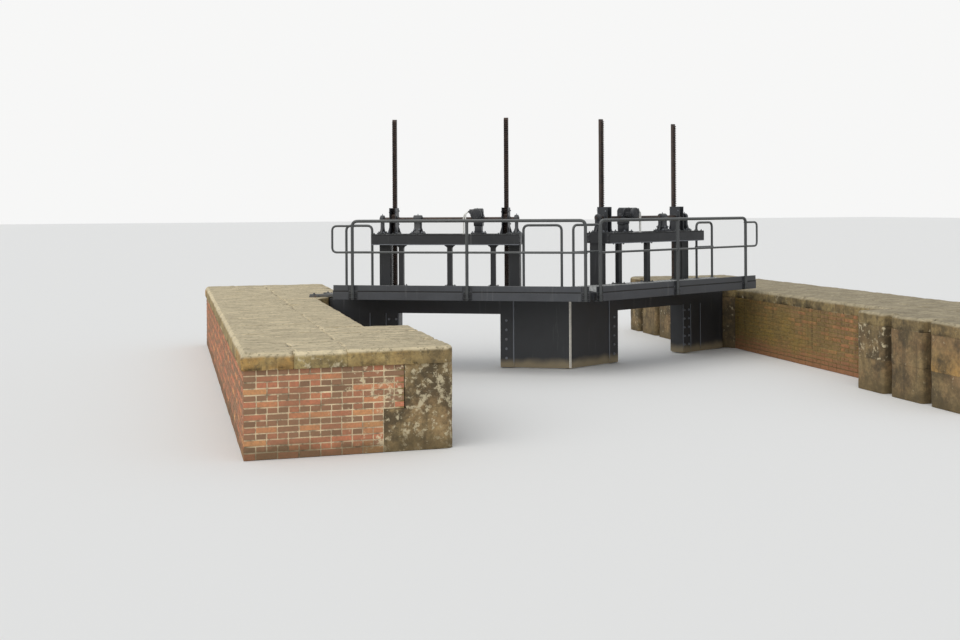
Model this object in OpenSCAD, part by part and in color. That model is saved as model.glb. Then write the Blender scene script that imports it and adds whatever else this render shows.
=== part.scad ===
// Pair of mitre gate leaves with rack-lifted sluices, between two masonry abutments.
// Millimetres. X runs across the lock, Y away along it, Z up from the water level.
// The two leaves meet on X = 0; everything on the right is the mirror image of the left.

/* [Masonry] */
// Clear width between the abutment noses
clear_w = 6500; // [6000:50:7500]
// Depth of the recess that takes an open leaf
recess_depth = 550; // [500:10:700]
// Length of each abutment along the lock
wall_len = 10600; // [10000:100:12000]
// Thickness of the brickwork behind the recess face
brick_thk = 1700; // [1200:50:2500]
// Height of the coping top over the water
wall_h = 1120; // [1000:10:1130]
// Height of the coping course
coping_h = 190; // [120:5:250]
// Length of the stone nose, from the wall end to the recess
nose_len = 2330; // [2200:10:2600]
// Length of the hollow quoin stone behind the heel post
quoin_len = 650; // [500:10:900]
// Width of a stop log groove
groove_w = 150; // [100:5:200]
// Depth of a stop log groove
groove_d = 150; // [80:5:200]
// Distance from the near wall end to the middle of its outer groove
near_groove_end = 780; // [600:10:850]
// Distance between the two near stop log grooves
near_groove_pitch = 830; // [700:10:900]
// Distance from the far wall end to the middle of its outer groove
far_groove_end = 590; // [500:10:700]
// Distance between the two far stop log grooves
far_groove_pitch = 840; // [700:10:900]
// Radius of the worn stone edges at the grooves
lip_r = 60; // [20:5:70]
// Radius of the nose corner at the recess
nose_r = 80; // [60:5:250]
// How far the coping stands out over the back and the ends
coping_out = 30; // [0:5:60]

/* [Leaf] */
// Angle between a closed leaf and the square across the lock
mitre_deg = 25.5; // [22:0.5:27]
// Thickness of a leaf
leaf_thk = 250; // [200:5:260]
// Distance of the turning axis behind the plane of the nose faces
pivot_in = 243.35; // [230:0.05:260]
// Height of a leaf's lower edge over the water
leaf_foot = 10; // [5:1:30]
// Gap between the two mitre posts
mitre_gap = 0.6; // [0.4:0.1:1]
// Width of the mitre post
mitre_w = 60; // [40:5:120]
// Thickness of the face plates
plate_t = 12; // [8:1:20]
// Thickness of ribs and flanges
rib_t = 12; // [8:1:20]
// Height of the underside of the top girder
girder_z = 870; // [800:10:900]
// Height of the top of the girder, under the deck
leaf_top = 1298; // [1280:1:1320]
// Distance from the mitre to the sluice bay
bay_s0 = 1135; // [1100:5:1180]
// Distance from the heel end of the sluice bay to the turning axis
bay_heel = 1100; // [1050:5:1150]
// Width of the posts beside the bay
bay_post_w = 205; // [180:5:220]
// Gap between the heel post and the hollow quoin
quoin_gap = 6; // [5:1:15]
// Radius of the hinge pin on top of the heel post
pin_r = 40; // [30:1:45]
// Height of the top of the heel post
heel_top = 1100; // [1000:5:1110]

/* [Deck] */
// Distance of the fascia face in front of the leaf face
fascia_out = 960; // [800:10:1050]
// Distance of the deck's back edge behind the leaf face
deck_back = 150; // [100:5:155]
// Height of the fascia's lower edge
fascia_z = 1160; // [1150:5:1180]
// Height of the top of the toe board
toe_top = 1390; // [1370:5:1420]
// Distance from the deck's front heel corner to the turning axis, along the face
deck_front_in = 270; // [230:5:330]
// Distance from the deck's back heel corner to the turning axis, along the face
deck_back_in = 130; // [120:5:230]
// Width of the fascia's flanges
fascia_flange = 60; // [40:5:80]
// Gap between each deck tip and the middle of the lock
tip_gap = 58; // [20:1:80]
// Thickness of the deck plate
deck_t = 8; // [5:1:12]

/* [Railings] */
// Height of the middle of the front top rail
rail_z = 2397; // [2350:1:2450]
// Height of the middle of the mid rail
mid_z = 1907; // [1850:1:1950]
// Radius of the front top rail and its posts
rail_r = 25; // [20:0.5:30]
// Radius of the mid rail
mid_r = 17; // [12:0.5:20]
// Distance of the first front post past the mitre
post_tip = 336; // [250:2:350]
// Distance from the last front post to the turning axis, along the face
post_heel = 602; // [560:2:640]
// Radius of the bends in the rails
bend_r = 90; // [70:5:110]
// Distance from the outward loop's end to the turning axis, along the face
loop_in = 275; // [250:5:330]
// How far the loop lies under the top rail
loop_drop = 75; // [60:5:120]
// Height of the top of the back hoops
hoop_z = 2310; // [2250:5:2350]
// Height of the mid rail of the back hoops
hoop_mid_z = 1870; // [1820:5:1900]
// Radius of the hoop tube
hoop_r = 21; // [16:0.5:24]
// Distance of the back hoops behind the leaf face
hoop_back = 50; // [40:5:70]
// Distance from the mitre to the first back hoop
hoop_tip = 135; // [120:5:200]
// Length of the back hoop by the mitre
hoop_len = 620; // [500:5:640]
// Distance from the last hoop post to the turning axis, along the face
hoop_heel = 195; // [180:5:230]
// Length of the back hoop by the heel
hoop_heel_len = 445; // [300:5:450]

/* [Hoist] */
// Height of the hoist beams' lower edge
beam_z = 1995; // [1950:5:2050]
// Depth of the hoist beams
beam_h = 175; // [140:5:200]
// Length of the hoist beams past the rack by the mitre
beam_over = 270; // [260:5:290]
// Length of the hoist beams past the rack by the heel
beam_over_heel = 290; // [280:5:300]
// Face of the front hoist beam, in front of the leaf face
beam_front = 150; // [120:5:200]
// Back of the rear hoist beam, behind the leaf face
beam_back = 385; // [375:5:400]
// Flange width of the hoist beams
beam_w = 50; // [45:5:55]
// Distance of the outer thin legs from the rack by the mitre
leg_in = 190; // [180:5:210]
// Distance of the outer thin legs from the rack by the heel
leg_in_heel = 160; // [150:5:180]
// Side of a thin leg
leg_w = 80; // [60:5:90]
// Width of the box columns
column_w = 180; // [160:5:190]
// Distance of the rack by the mitre outside the sluice bay
rack_out = 65; // [60:1:80]
// Distance of the rack by the heel outside the sluice bay
rack_out_heel = 130; // [120:1:140]
// Height of the rack tops
rack_top = 4080; // [3900:10:4200]
// Height of the racks' lower ends
rack_foot = 1150; // [1140:5:1200]
// Width of a rack
rack_w = 70; // [60:1:75]
// Module of the rack and pinion teeth
tooth_m = 10; // [8:1:10]
// Teeth on a pinion
pinion_teeth = 12; // [12:1:14]
// Distance of the rack's pitch line behind the leaf face
pitch_back = 270; // [268:1:280]
// Height of the drive shaft
shaft_z = 2420; // [2400:5:2450]
// Radius of the drive shaft
shaft_r = 25; // [20:1:30]
// Gap round the shaft in its bearings
bearing_gap = 0.25; // [0.2:0.05:0.5]
// Gap between a rack and its guide shoe
shoe_gap = 0.5; // [0.3:0.1:0.8]
// Play between the teeth of rack and pinion
backlash = 1; // [0.6:0.1:2]
// Height of the tops of the rack guides
guide_z = 2600; // [2560:5:2700]
// Distance of the intermediate bearing from the rack by the heel
mid_stand_in = 415; // [380:5:430]
// Distance of the gear motor from the rack by the mitre
motor_in = 450; // [420:5:480]
// Thickness of the foot plates of the hoist's units
foot_t = 20; // [15:1:25]
// Radius of the motor
motor_r = 92; // [80:1:96]
// Height of the motor's middle over the shaft
motor_up = 75; // [60:1:90]
// Front end of the motor, in front of the leaf face
motor_front = 85; // [60:5:110]

/* [Hidden] */

paint = "#3d4046";
dark_paint = "#2c2e32";
brick_red = "#9a6650";
stone_grey = "#8d8575";
sandstone = "#b5a88c";
steel_grey = "#5c5552";
cable_pale = "#cfcfc8";

nose_x = clear_w / 2;
recess_x = nose_x + recess_depth;
end_y = wall_len / 2;
coping_z = wall_h - coping_h;
pivot_n = leaf_thk / 2;
pivot_x = nose_x + pivot_in;
heel_s = (pivot_x + pivot_n * sin(mitre_deg)) / cos(mitre_deg);
pivot_y = heel_s * sin(mitre_deg) + pivot_n * cos(mitre_deg);
quoin_r = pivot_n + quoin_gap;
quoin_y0 = pivot_y - (recess_x - pivot_x - quoin_r);
quoin_y1 = pivot_y + quoin_len;
pinion_r = tooth_m * pinion_teeth / 2;
tooth_deg = 25;
shaft_n = -pitch_back + pinion_r;
rack_back = -pitch_back - tooth_m * 5.5;
rack_root = -pitch_back - tooth_m * 1.25;
beam_top = beam_z + beam_h;
bay_s1 = heel_s - bay_heel;
bay_mid = (bay_s0 + bay_s1) / 2;
rack_s = [bay_s0 - rack_out, bay_s1 + rack_out_heel];
beam_s0 = rack_s[0] - beam_over;
beam_s1 = rack_s[1] + beam_over_heel;
leg_s = [rack_s[0] + leg_in, bay_mid, rack_s[1] - leg_in_heel];
mid_stand_s = rack_s[1] - mid_stand_in;
motor_s = rack_s[0] + motor_in;
deck_s1 = heel_s - deck_front_in;
deck_s2 = heel_s - deck_back_in;
rail_s = [-post_tip, (heel_s - post_heel - post_tip) / 2, heel_s - post_heel];
loop_s = heel_s - loop_in;
hoop_s = [[hoop_tip, hoop_tip + hoop_len], [heel_s - hoop_heel - hoop_heel_len, heel_s - hoop_heel]];
deck_top = leaf_top + deck_t;

// Points on an arc
function arc(cx, cy, r, a0, a1, n) = [for (i = [0 : n]) let (a = a0 + (a1 - a0) * i / n)
    [cx + r * cos(a), cy + r * sin(a)]];

// Distance from the mitre, along the face, at which a plane stands gap from the middle of the lock
function mitre_at(n, gap) = (gap - n * sin(mitre_deg)) / cos(mitre_deg);

// The left leaf is drawn from the mitre: x along its face to the heel, y to the front, z up
module on_left_leaf() { rotate([0, 0, 180 - mitre_deg]) children(); }
module mirrored() { mirror([1, 0, 0]) children(); }

// A block given by its two ends along each direction
module block(s0, s1, n0, n1, z0, z1) {
    translate([s0, n0, z0]) cube([s1 - s0, n1 - n0, z1 - z0]);
}

// A bar along the leaf
module bar_s(s0, s1, n, z, r) {
    translate([s0, n, z]) rotate([0, 90, 0]) cylinder(r = r, h = s1 - s0, $fn = 32);
}

// A bar across the leaf
module bar_n(s, n0, n1, z, r) {
    translate([s, n0, z]) rotate([-90, 0, 0]) cylinder(r = r, h = n1 - n0, $fn = 32);
}

// A standing bar
module bar_z(s, n, z0, z1, r) {
    translate([s, n, z0]) cylinder(r = r, h = z1 - z0, $fn = 32);
}

// A plan extruded between two heights
module slab(z0, z1) { translate([0, 0, z0]) linear_extrude(z1 - z0) children(); }

// A quarter bend of tube in the plane of the railing, turned by a
module bend(s, n, z, r, bend_r, a) {
    translate([s, n, z]) rotate([90, a, 0])
        rotate_extrude(angle = 90, $fn = 48) translate([bend_r, 0]) circle(r = r, $fn = 32);
}

// Masonry, drawn for the wall on the +X side
// One pillar between y0 and y1: its floor points and rounded lips
function pillar(y0, y1, x0, x1, r0, r1) = concat(
    [[x0, y0]], arc(nose_x + r0, y0 + r0, r0, 270, 180, 6),
    arc(nose_x + r1, y1 - r1, r1, 180, 90, 6), [[x1, y1]]);

module nose_plan() {
    floor_x = nose_x + groove_d;
    g = [for (k = [0, 1]) -end_y + near_groove_end + k * near_groove_pitch];
    polygon(concat(
        pillar(-end_y, g[0] - groove_w / 2, recess_x, floor_x, lip_r, lip_r),
        pillar(g[0] + groove_w / 2, g[1] - groove_w / 2, floor_x, floor_x, lip_r, lip_r),
        pillar(g[1] + groove_w / 2, -end_y + nose_len, floor_x, recess_x, lip_r, nose_r)));
}

module far_nose_plan() {
    floor_x = nose_x + groove_d;
    g = [for (k = [0, 1]) end_y - far_groove_end - k * far_groove_pitch];
    polygon(concat(
        [[recess_x, quoin_y1], [nose_x, quoin_y1]],
        arc(nose_x + lip_r, g[1] - groove_w / 2 - lip_r, lip_r, 180, 90, 6),
        [[floor_x, g[1] - groove_w / 2]],
        pillar(g[1] + groove_w / 2, g[0] - groove_w / 2, floor_x, floor_x, lip_r, lip_r),
        pillar(g[0] + groove_w / 2, end_y, floor_x, recess_x, lip_r, lip_r)));
}

module quoin_plan() {
    a = 90 + mitre_deg;
    turn_x = pivot_x + quoin_r * cos(a);
    turn_y = pivot_y + quoin_r * sin(a);
    polygon(concat(
        [[recess_x, quoin_y1], [nose_x, quoin_y1],
            [nose_x, turn_y - (turn_x - nose_x) * tan(mitre_deg)]],
        arc(pivot_x, pivot_y, quoin_r, a, 0, 18),
        [[recess_x, quoin_y0]]));
}

module brick_plan() { translate([recess_x, -end_y]) square([brick_thk, wall_len]); }

module coping_plan() {
    nose_plan();
    far_nose_plan();
    quoin_plan();
    translate([recess_x, -end_y - coping_out]) square([brick_thk + coping_out, wall_len + 2 * coping_out]);
}

module brickwork() { color(brick_red) slab(0, coping_z) brick_plan(); }
module near_nose() { color(stone_grey) slab(0, coping_z) nose_plan(); }
module far_nose() { color(stone_grey) slab(0, coping_z) far_nose_plan(); }
module quoin_stone() { color(stone_grey) slab(0, coping_z) quoin_plan(); }
module coping() { color(sandstone) slab(coping_z, wall_h) coping_plan(); }

// Collar round the hinge pin, with two straps anchored on the coping
strap_z = wall_h + 5;
strap_h = 40;
strap_len = 450;
strap_w = 90;
collar_r = 82;
strap_in = 60;
keep_len = 140;
keep_w = 180;
keep_t = 25;
module anchor() {
    color(dark_paint) translate([pivot_x, pivot_y, strap_z]) difference() {
        union() {
            cylinder(r = collar_r, h = strap_h, $fn = 48);
            for (a = [15, 75]) rotate(a) {
                translate([strap_in, -strap_w / 2, 0]) cube([strap_len - strap_in, strap_w, strap_h]);
                translate([strap_len - keep_len, -keep_w / 2, wall_h - strap_z])
                    cube([keep_len, keep_w, keep_t]);
            }
        }
        translate([0, 0, -1]) cylinder(r = pin_r + 0.5, h = strap_h + 2, $fn = 48);
    }
}

// Leaf
module heel_post() {
    color(paint) {
        difference() {
            slab(leaf_foot, heel_top) heel_plan(0);
            slab(leaf_foot - 1, heel_top - 2 * plate_t) heel_plan(plate_t);
        }
        bar_z(heel_s, -pivot_n, heel_top - plate_t, strap_z + strap_h + 6, pin_r);
        bar_z(heel_s, -pivot_n, strap_z + strap_h + 6, strap_z + strap_h + 20, pin_r + 22);
    }
}

// D-shaped section of the heel post, drawn in by t
module heel_plan(t) {
    translate([heel_s, -pivot_n]) circle(r = pivot_n - t, $fn = 64);
    translate([heel_s - pivot_n + t, -leaf_thk + t]) square([pivot_n - t, leaf_thk - 2 * t]);
}

module mitre_post() {
    color(paint) slab(leaf_foot, leaf_top) polygon([
        [mitre_at(0, mitre_gap / 2), 0], [mitre_at(0, 0) + mitre_w, 0],
        [mitre_at(-leaf_thk, 0) + mitre_w, -leaf_thk], [mitre_at(-leaf_thk, mitre_gap / 2), -leaf_thk]]);
}

post_in = bay_s0 - bay_post_w;
post_out = bay_s1 + bay_post_w;
heel_flat = heel_s - pivot_n;

// Face plates on both sides of the bay, with tee ribs on their backs
module leaf_plates() {
    mitre_panel = post_in - mitre_w;
    heel_panel = heel_flat - post_out;
    mitre_ribs = [for (k = [1, 2]) post_in - mitre_panel * k / 3];
    heel_ribs = [for (k = [1, 2]) post_out + heel_panel * k / 3];
    color(paint) {
        slab(leaf_foot, girder_z) mitre_plate(post_in);
        block(post_out, heel_flat, -plate_t, 0, leaf_foot, girder_z);
        for (s = concat(mitre_ribs, heel_ribs)) {
            block(s, s + rib_t, -leaf_thk + rib_t, -plate_t, leaf_foot, girder_z);
            block(s - 40, s + 40 + rib_t, -leaf_thk, -leaf_thk + rib_t, leaf_foot, girder_z);
        }
    }
}

// Plan of a face plate that runs from the mitre post to s
module mitre_plate(s) {
    polygon([[mitre_w, 0], [s, 0], [s, -plate_t], [mitre_at(-plate_t, 0) + mitre_w, -plate_t]]);
}

// Channel girder along the top, open to the back
module top_girder() {
    g0 = mitre_at(0, 0) + mitre_w;
    g1 = mitre_at(-leaf_thk, 0) + mitre_w;
    bay_w = bay_s1 - bay_s0;
    stiffeners = concat([for (k = [1, 2]) post_in - k * 250], [post_in + bay_post_w / 2],
        [for (k = [1 : 3]) bay_s0 + bay_w * k / 4], [post_out - bay_post_w / 2, (post_out + heel_flat) / 2]);
    color(paint) {
        difference() {
            slab(girder_z, leaf_top)
                polygon([[g0, 0], [heel_flat, 0], [heel_flat, -leaf_thk], [g1, -leaf_thk]]);
            block(0, heel_s, -2 * leaf_thk, -plate_t, girder_z + rib_t, leaf_top - rib_t);
        }
        for (s = stiffeners) block(s, s + rib_t, -leaf_thk + rib_t, 0, girder_z, leaf_top);
    }
}

casing_in = rack_w / 2 + 10;
casing_back = rack_back - 10;
casing_t = 8;
// Box posts on both sides of the bay, with the casings in which the racks' lower ends run
module bay_posts() {
    color(paint) for (i = [0, 1]) {
        s = [post_in, bay_s1][i];
        c = rack_s[i];
        difference() {
            union() {
                block(s, s + bay_post_w, -leaf_thk, 0, leaf_foot, girder_z);
                block(c - casing_in - casing_t, c + casing_in + casing_t, casing_back - casing_t, -leaf_thk,
                    leaf_foot, leaf_top);
            }
            block(s + plate_t, s + bay_post_w - plate_t, -leaf_thk + plate_t, -plate_t,
                leaf_foot - 1, girder_z + 1);
            block(c - casing_in, c + casing_in, casing_back, -leaf_thk, leaf_foot - 1, leaf_top + 1);
        }
    }
}

// Deck
module deck_plan() {
    polygon([[mitre_at(fascia_out, tip_gap), fascia_out], [deck_s1, fascia_out],
        [deck_s2, -deck_back], [mitre_at(-deck_back, tip_gap), -deck_back]]);
}

bracket_s = [bay_s0 / 4, rack_s[0], bay_mid, rack_s[1], deck_s1 - 110];
fascia_top = leaf_top;
fascia_t = 8;
flange_t = 10;
module deck_frame() {
    tip = mitre_at(fascia_out, tip_gap);
    color(paint) {
        difference() {
            block(tip, deck_s1, fascia_out - fascia_flange, fascia_out, fascia_z, fascia_top);
            block(tip - 1, deck_s1 + 1, fascia_out - fascia_flange - 1, fascia_out - fascia_t,
                fascia_z + flange_t, fascia_top - flange_t);
        }
        for (s = bracket_s)
            block(s, s + rib_t, 0, fascia_out - fascia_t, fascia_z + flange_t, fascia_top - flange_t);
        slab(fascia_z + 2 * flange_t, fascia_top) polygon([
            [tip, fascia_out - fascia_flange], [tip + rib_t, fascia_out - fascia_flange],
            [mitre_at(0, tip_gap) + rib_t, 0], [mitre_at(0, tip_gap), 0]]);
        slab(fascia_z + 2 * flange_t, fascia_top) polygon([
            [deck_s1 - rib_t, fascia_out - fascia_flange], [deck_s1, fascia_out - fascia_flange],
            [heel_flat - 2 * rib_t, 0], [heel_flat - 3 * rib_t, 0]]);
    }
}

module deck_plate() {
    tip = mitre_at(fascia_out, tip_gap);
    color(dark_paint) {
        slab(leaf_top, deck_top) deck_plan();
        block(tip + deck_t, deck_s1 - deck_t, fascia_out - 2 * deck_t, fascia_out - deck_t,
            deck_top, toe_top);
    }
}

// Railings
rail_n = fascia_out + rail_r;
module front_railing() {
    loop_z = rail_z - loop_drop;
    loop_bend = bend_r * 8 / 9;
    color(paint) {
        for (i = [0, 2]) bar_z(rail_s[i], rail_n, fascia_z + rail_r / 5, rail_z - bend_r, rail_r);
        bar_z(rail_s[1], rail_n, fascia_z + rail_r / 5, rail_z, rail_r);
        bar_s(rail_s[0] + bend_r, rail_s[2] - bend_r, rail_n, rail_z, rail_r);
        bend(rail_s[0] + bend_r, rail_n, rail_z - bend_r, rail_r, bend_r, -90);
        bend(rail_s[2] - bend_r, rail_n, rail_z - bend_r, rail_r, bend_r, 0);
        bar_s(rail_s[0], loop_s - loop_bend, rail_n, mid_z, mid_r);
        bend(loop_s - loop_bend, rail_n, mid_z + loop_bend, mid_r, loop_bend, 90);
        bar_z(loop_s, rail_n, mid_z + loop_bend, loop_z - loop_bend, mid_r);
        bend(loop_s - loop_bend, rail_n, loop_z - loop_bend, mid_r, loop_bend, 0);
        bar_s(rail_s[2], loop_s - loop_bend, rail_n, loop_z, mid_r);
    }
}

module back_hoops() {
    r = bend_r;
    color(paint) for (h = hoop_s) {
        for (s = h) {
            bar_z(s, -hoop_back, deck_top, hoop_z - r, hoop_r);
            bar_z(s, -hoop_back, deck_top, deck_top + 8, hoop_r + 22);
        }
        bar_s(h[0] + r, h[1] - r, -hoop_back, hoop_z, hoop_r);
        bar_s(h[0], h[1], -hoop_back, hoop_mid_z, mid_r);
        bend(h[0] + r, -hoop_back, hoop_z - r, hoop_r, r, -90);
        bend(h[1] - r, -hoop_back, hoop_z - r, hoop_r, r, 0);
    }
}

// Hoist frame
beam_t = 10;
bed_margin = 110;
// Bed plates under the hoist's units, each from one place to another along the leaf
bed_s = [[beam_s0, rack_s[0] + bed_margin], [motor_s - bed_margin, motor_s + 2.2 * bed_margin],
    [mid_stand_s - bed_margin, mid_stand_s + bed_margin], [rack_s[1] - bed_margin, beam_s1]];
cross_s = concat([for (s = rack_s) for (d = [-1, 1]) s + d * rack_w], leg_s, [motor_s, mid_stand_s]);
module hoist_beams() {
    inner = -beam_back + beam_t;
    outer = beam_front - beam_t;
    color(paint) difference() {
        union() {
            channel(outer, beam_front, beam_front - beam_w);
            channel(-beam_back, inner, -beam_back + beam_w);
            for (s = [beam_s0, beam_s1 - beam_t]) block(s, s + beam_t, inner, outer, beam_z, beam_top);
            for (s = cross_s) block(s - rib_t / 2, s + rib_t / 2, inner, outer, beam_z, beam_top);
            for (b = bed_s) block(b[0], b[1], inner, outer, beam_top - beam_t, beam_top);
        }
        for (s = rack_s) block(s - cheek_in, s + cheek_in, rack_back - shoe_gap, -pitch_back + 3 * tooth_m,
            beam_z - 1, beam_top + 1);
    }
}

// A channel along the leaf: web between n0 and n1, flanges out to f
module channel(n0, n1, f) {
    lo = min(n0, f);
    hi = max(n1, f);
    block(beam_s0, beam_s1, n0, n1, beam_z, beam_top);
    for (z = [beam_z, beam_top - beam_t]) block(beam_s0, beam_s1, lo, hi, z, z + beam_t);
}

column_n0 = -350;
column_n1 = -160;
column_gap = 20;
head_t = 12;
// Thin legs with head plates, and box columns that stand on brackets behind the girder
module hoist_legs() {
    beside = rack_w / 2 + column_gap;
    color(paint) {
        for (s = leg_s) {
            block(s - leg_w / 2, s + leg_w / 2, -hoop_back - leg_w, -hoop_back, deck_top, beam_z - head_t);
            block(s - leg_w, s + leg_w, -hoop_back - 1.3 * leg_w, -hoop_back + 0.3 * leg_w,
                beam_z - head_t, beam_z);
        }
        for (s = [rack_s[0] - beside - column_w, rack_s[1] + beside]) {
            block(s, s + column_w, column_n0, column_n1, leaf_top, beam_z);
            block(s, s + column_w, column_n0, -leaf_thk, leaf_top - column_w * 2 / 3, leaf_top);
        }
    }
}

// Rack guides: two cheeks on a foot, a shoe behind the rack
cheek_t = 15;
cheek_in = rack_w / 2 + 6;
shoe_t = 20;
module rack_guides() {
    bn = rack_back - shoe_gap;
    cheek_front = shaft_n + 1.5 * pinion_r;
    foot_w = cheek_in + 3 * cheek_t;
    color(dark_paint) for (s = rack_s) difference() {
        union() {
            block(s - foot_w, s + foot_w, -beam_back, cheek_front + foot_t, beam_top, beam_top + foot_t);
            for (d = [-1, 1]) {
                c = s + d * (cheek_in + cheek_t / 2);
                block(c - cheek_t / 2, c + cheek_t / 2, bn - shoe_t, cheek_front, beam_top, guide_z);
            }
            block(s - cheek_in, s + cheek_in, bn - shoe_t, bn, beam_top, guide_z);
        }
        block(s - cheek_in, s + cheek_in, bn, cheek_front + 2 * foot_t, beam_top - 1, beam_top + foot_t + 1);
        bar_s(s - beam_over, s + beam_over, shaft_n, shaft_z, shaft_r + bearing_gap);
    }
}

// Bearings of the drive shaft: slim stands at the ends, a wide pillow block between them
stand_s = [beam_s0 + beam_over / 3, mid_stand_s, beam_s1 - beam_over_heel / 3];
bearing_r = 60;
stand_w = [50, 130, 50];
module shaft_bearings() {
    color(dark_paint) for (i = [0 : 2]) {
        s = stand_s[i];
        half = stand_w[i] / 2;
        foot = half + 45;
        difference() {
            union() {
                bar_s(s - half - 5, s + half + 5, shaft_n, shaft_z, bearing_r);
                block(s - half, s + half, shaft_n - bearing_r, shaft_n + bearing_r, beam_top, shaft_z);
                block(s - foot, s + foot, shaft_n - bearing_r - 50, shaft_n + bearing_r + 50,
                    beam_top, beam_top + foot_t);
                if (i == 1) bar_n(s, shaft_n - bearing_r - 25, shaft_n + bearing_r + 25,
                    (beam_top + shaft_z) / 2, 40);
            }
            bar_s(s - beam_over, s + beam_over, shaft_n, shaft_z, shaft_r + bearing_gap);
        }
    }
}

// Gear motor: gearbox on the shaft, motor across the leaf, terminal box on its heel side
gear_w = 170;
gear_back = shaft_n - 90;
gear_front = shaft_n + 80;
gear_z = [shaft_z - 130, shaft_z + 170];
box_w = 130;
box_h = 80;
box_n = -10;
box_s = motor_s + motor_r + 20;
box_z = shaft_z + motor_up + box_h / 2;
module gear_motor() {
    color(dark_paint) difference() {
        union() {
            block(motor_s - gear_w / 2, motor_s + gear_w / 2, gear_back, gear_front, gear_z[0], gear_z[1]);
            block(motor_s - bed_margin, motor_s + bed_margin, gear_back - 40, gear_front + 50,
                beam_top, beam_top + foot_t);
            block(motor_s - gear_w / 3, motor_s + gear_w / 3, gear_back, gear_front,
                beam_top, gear_z[0] + 30);
            bar_n(motor_s, gear_front - 10, motor_front, shaft_z + motor_up, motor_r);
            block(motor_s, box_s, box_n - box_w / 2, box_n + box_w / 2, box_z - box_h / 2, box_z + box_h / 2);
        }
        bar_s(motor_s - gear_w, motor_s + gear_w, shaft_n, shaft_z, shaft_r + bearing_gap);
    }
}

cable_r = 11;
loop_r = [110, 65];
module motor_cables() {
    run = box_s;
    color(cable_pale) for (i = [0, 1]) {
        r = loop_r[i];
        n = box_n - 30 + 60 * i;
        bend(run, n, box_z - r, cable_r, r, 0);
        bar_z(run + r, n, beam_top, box_z - r, cable_r);
    }
}

// Drive train
function inv_deg(a) = tan(a) * 180 / PI - a;
// One flank of an involute tooth, from the root to the tip
function flank(side) = let (
    rb = pinion_r * cos(tooth_deg),
    half = 90 / pinion_teeth - backlash / 4 / pinion_r * 180 / PI,
    tip = pinion_r + tooth_m)
    [for (i = [0 : 5]) let (
        r = rb + (tip - rb) * i / 5,
        a = acos(min(1, rb / r)),
        w = half + inv_deg(tooth_deg) - inv_deg(a))
        [r, side * w]];

module pinion() {
    root = pinion_r - 1.25 * tooth_m;
    step = 360 / pinion_teeth;
    left_flank = flank(-1);
    right_flank = flank(1);
    polygon([for (k = [0 : pinion_teeth - 1]) let (
        m = k * step,
        a0 = left_flank[0][1],
        a1 = right_flank[0][1])
        each concat([[root * cos(m + a0), root * sin(m + a0)]],
            [for (p = left_flank) [p[0] * cos(m + p[1]), p[0] * sin(m + p[1])]],
            [for (i = [5 : -1 : 0]) let (p = right_flank[i]) [p[0] * cos(m + p[1]), p[0] * sin(m + p[1])]],
            [[root * cos(m + a1), root * sin(m + a1)]])]);
}

pinion_w = 60;
module drive_shaft() {
    color(steel_grey) {
        bar_s(stand_s[0] - 45, stand_s[2] + 45, shaft_n, shaft_z, shaft_r);
        for (s = rack_s) translate([s - pinion_w / 2, shaft_n, shaft_z])
            rotate([90, 0, 90]) linear_extrude(pinion_w) rotate(180) pinion();
    }
}

// Rack teeth: a space faces the pinion tooth that points at the rack
module racks() {
    pitch = PI * tooth_m;
    half = pitch / 4 - backlash / 4;
    lean = tooth_m * tan(tooth_deg);
    sunk = 1.25 * tooth_m * tan(tooth_deg);
    first = ceil((rack_foot + 30 - shaft_z) / pitch);
    last = floor((rack_top - 30 - shaft_z) / pitch);
    tip_n = -pitch_back + tooth_m;
    color(steel_grey) for (s = rack_s)
        translate([s - rack_w / 2, 0, 0]) rotate([90, 0, 90]) linear_extrude(rack_w)
            polygon(concat(
                [[rack_back, rack_foot], [rack_root, rack_foot]],
                [for (k = [first : last]) let (m = shaft_z + (k + 0.5) * pitch) each
                    [[rack_root, m - half - sunk], [tip_n, m - half + lean],
                        [tip_n, m + half - lean], [rack_root, m + half + sunk]]],
                [[rack_root, rack_top], [rack_back, rack_top]]));
}

mirrored() brickwork();  // left_brickwork
mirrored() near_nose();  // left_near_nose
mirrored() far_nose();  // left_far_nose
mirrored() quoin_stone();  // left_quoin_stone
mirrored() coping();  // left_coping
mirrored() anchor();  // left_anchor
on_left_leaf() heel_post();  // left_heel_post
on_left_leaf() mitre_post();  // left_mitre_post
on_left_leaf() leaf_plates();  // left_leaf_plates
on_left_leaf() top_girder();  // left_top_girder
on_left_leaf() bay_posts();  // left_bay_posts
on_left_leaf() deck_frame();  // left_deck_frame
on_left_leaf() deck_plate();  // left_deck_plate
on_left_leaf() front_railing();  // left_front_railing
on_left_leaf() back_hoops();  // left_back_hoops
on_left_leaf() hoist_beams();  // left_hoist_beams
on_left_leaf() hoist_legs();  // left_hoist_legs
on_left_leaf() rack_guides();  // left_rack_guides
on_left_leaf() shaft_bearings();  // left_shaft_bearings
on_left_leaf() gear_motor();  // left_gear_motor
on_left_leaf() motor_cables();  // left_motor_cables
on_left_leaf() drive_shaft();  // left_drive_shaft
on_left_leaf() racks();  // left_racks
brickwork();  // right_brickwork
near_nose();  // right_near_nose
far_nose();  // right_far_nose
quoin_stone();  // right_quoin_stone
coping();  // right_coping
anchor();  // right_anchor
mirrored() on_left_leaf() heel_post();  // right_heel_post
mirrored() on_left_leaf() mitre_post();  // right_mitre_post
mirrored() on_left_leaf() leaf_plates();  // right_leaf_plates
mirrored() on_left_leaf() top_girder();  // right_top_girder
mirrored() on_left_leaf() bay_posts();  // right_bay_posts
mirrored() on_left_leaf() deck_frame();  // right_deck_frame
mirrored() on_left_leaf() deck_plate();  // right_deck_plate
mirrored() on_left_leaf() front_railing();  // right_front_railing
mirrored() on_left_leaf() back_hoops();  // right_back_hoops
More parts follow.
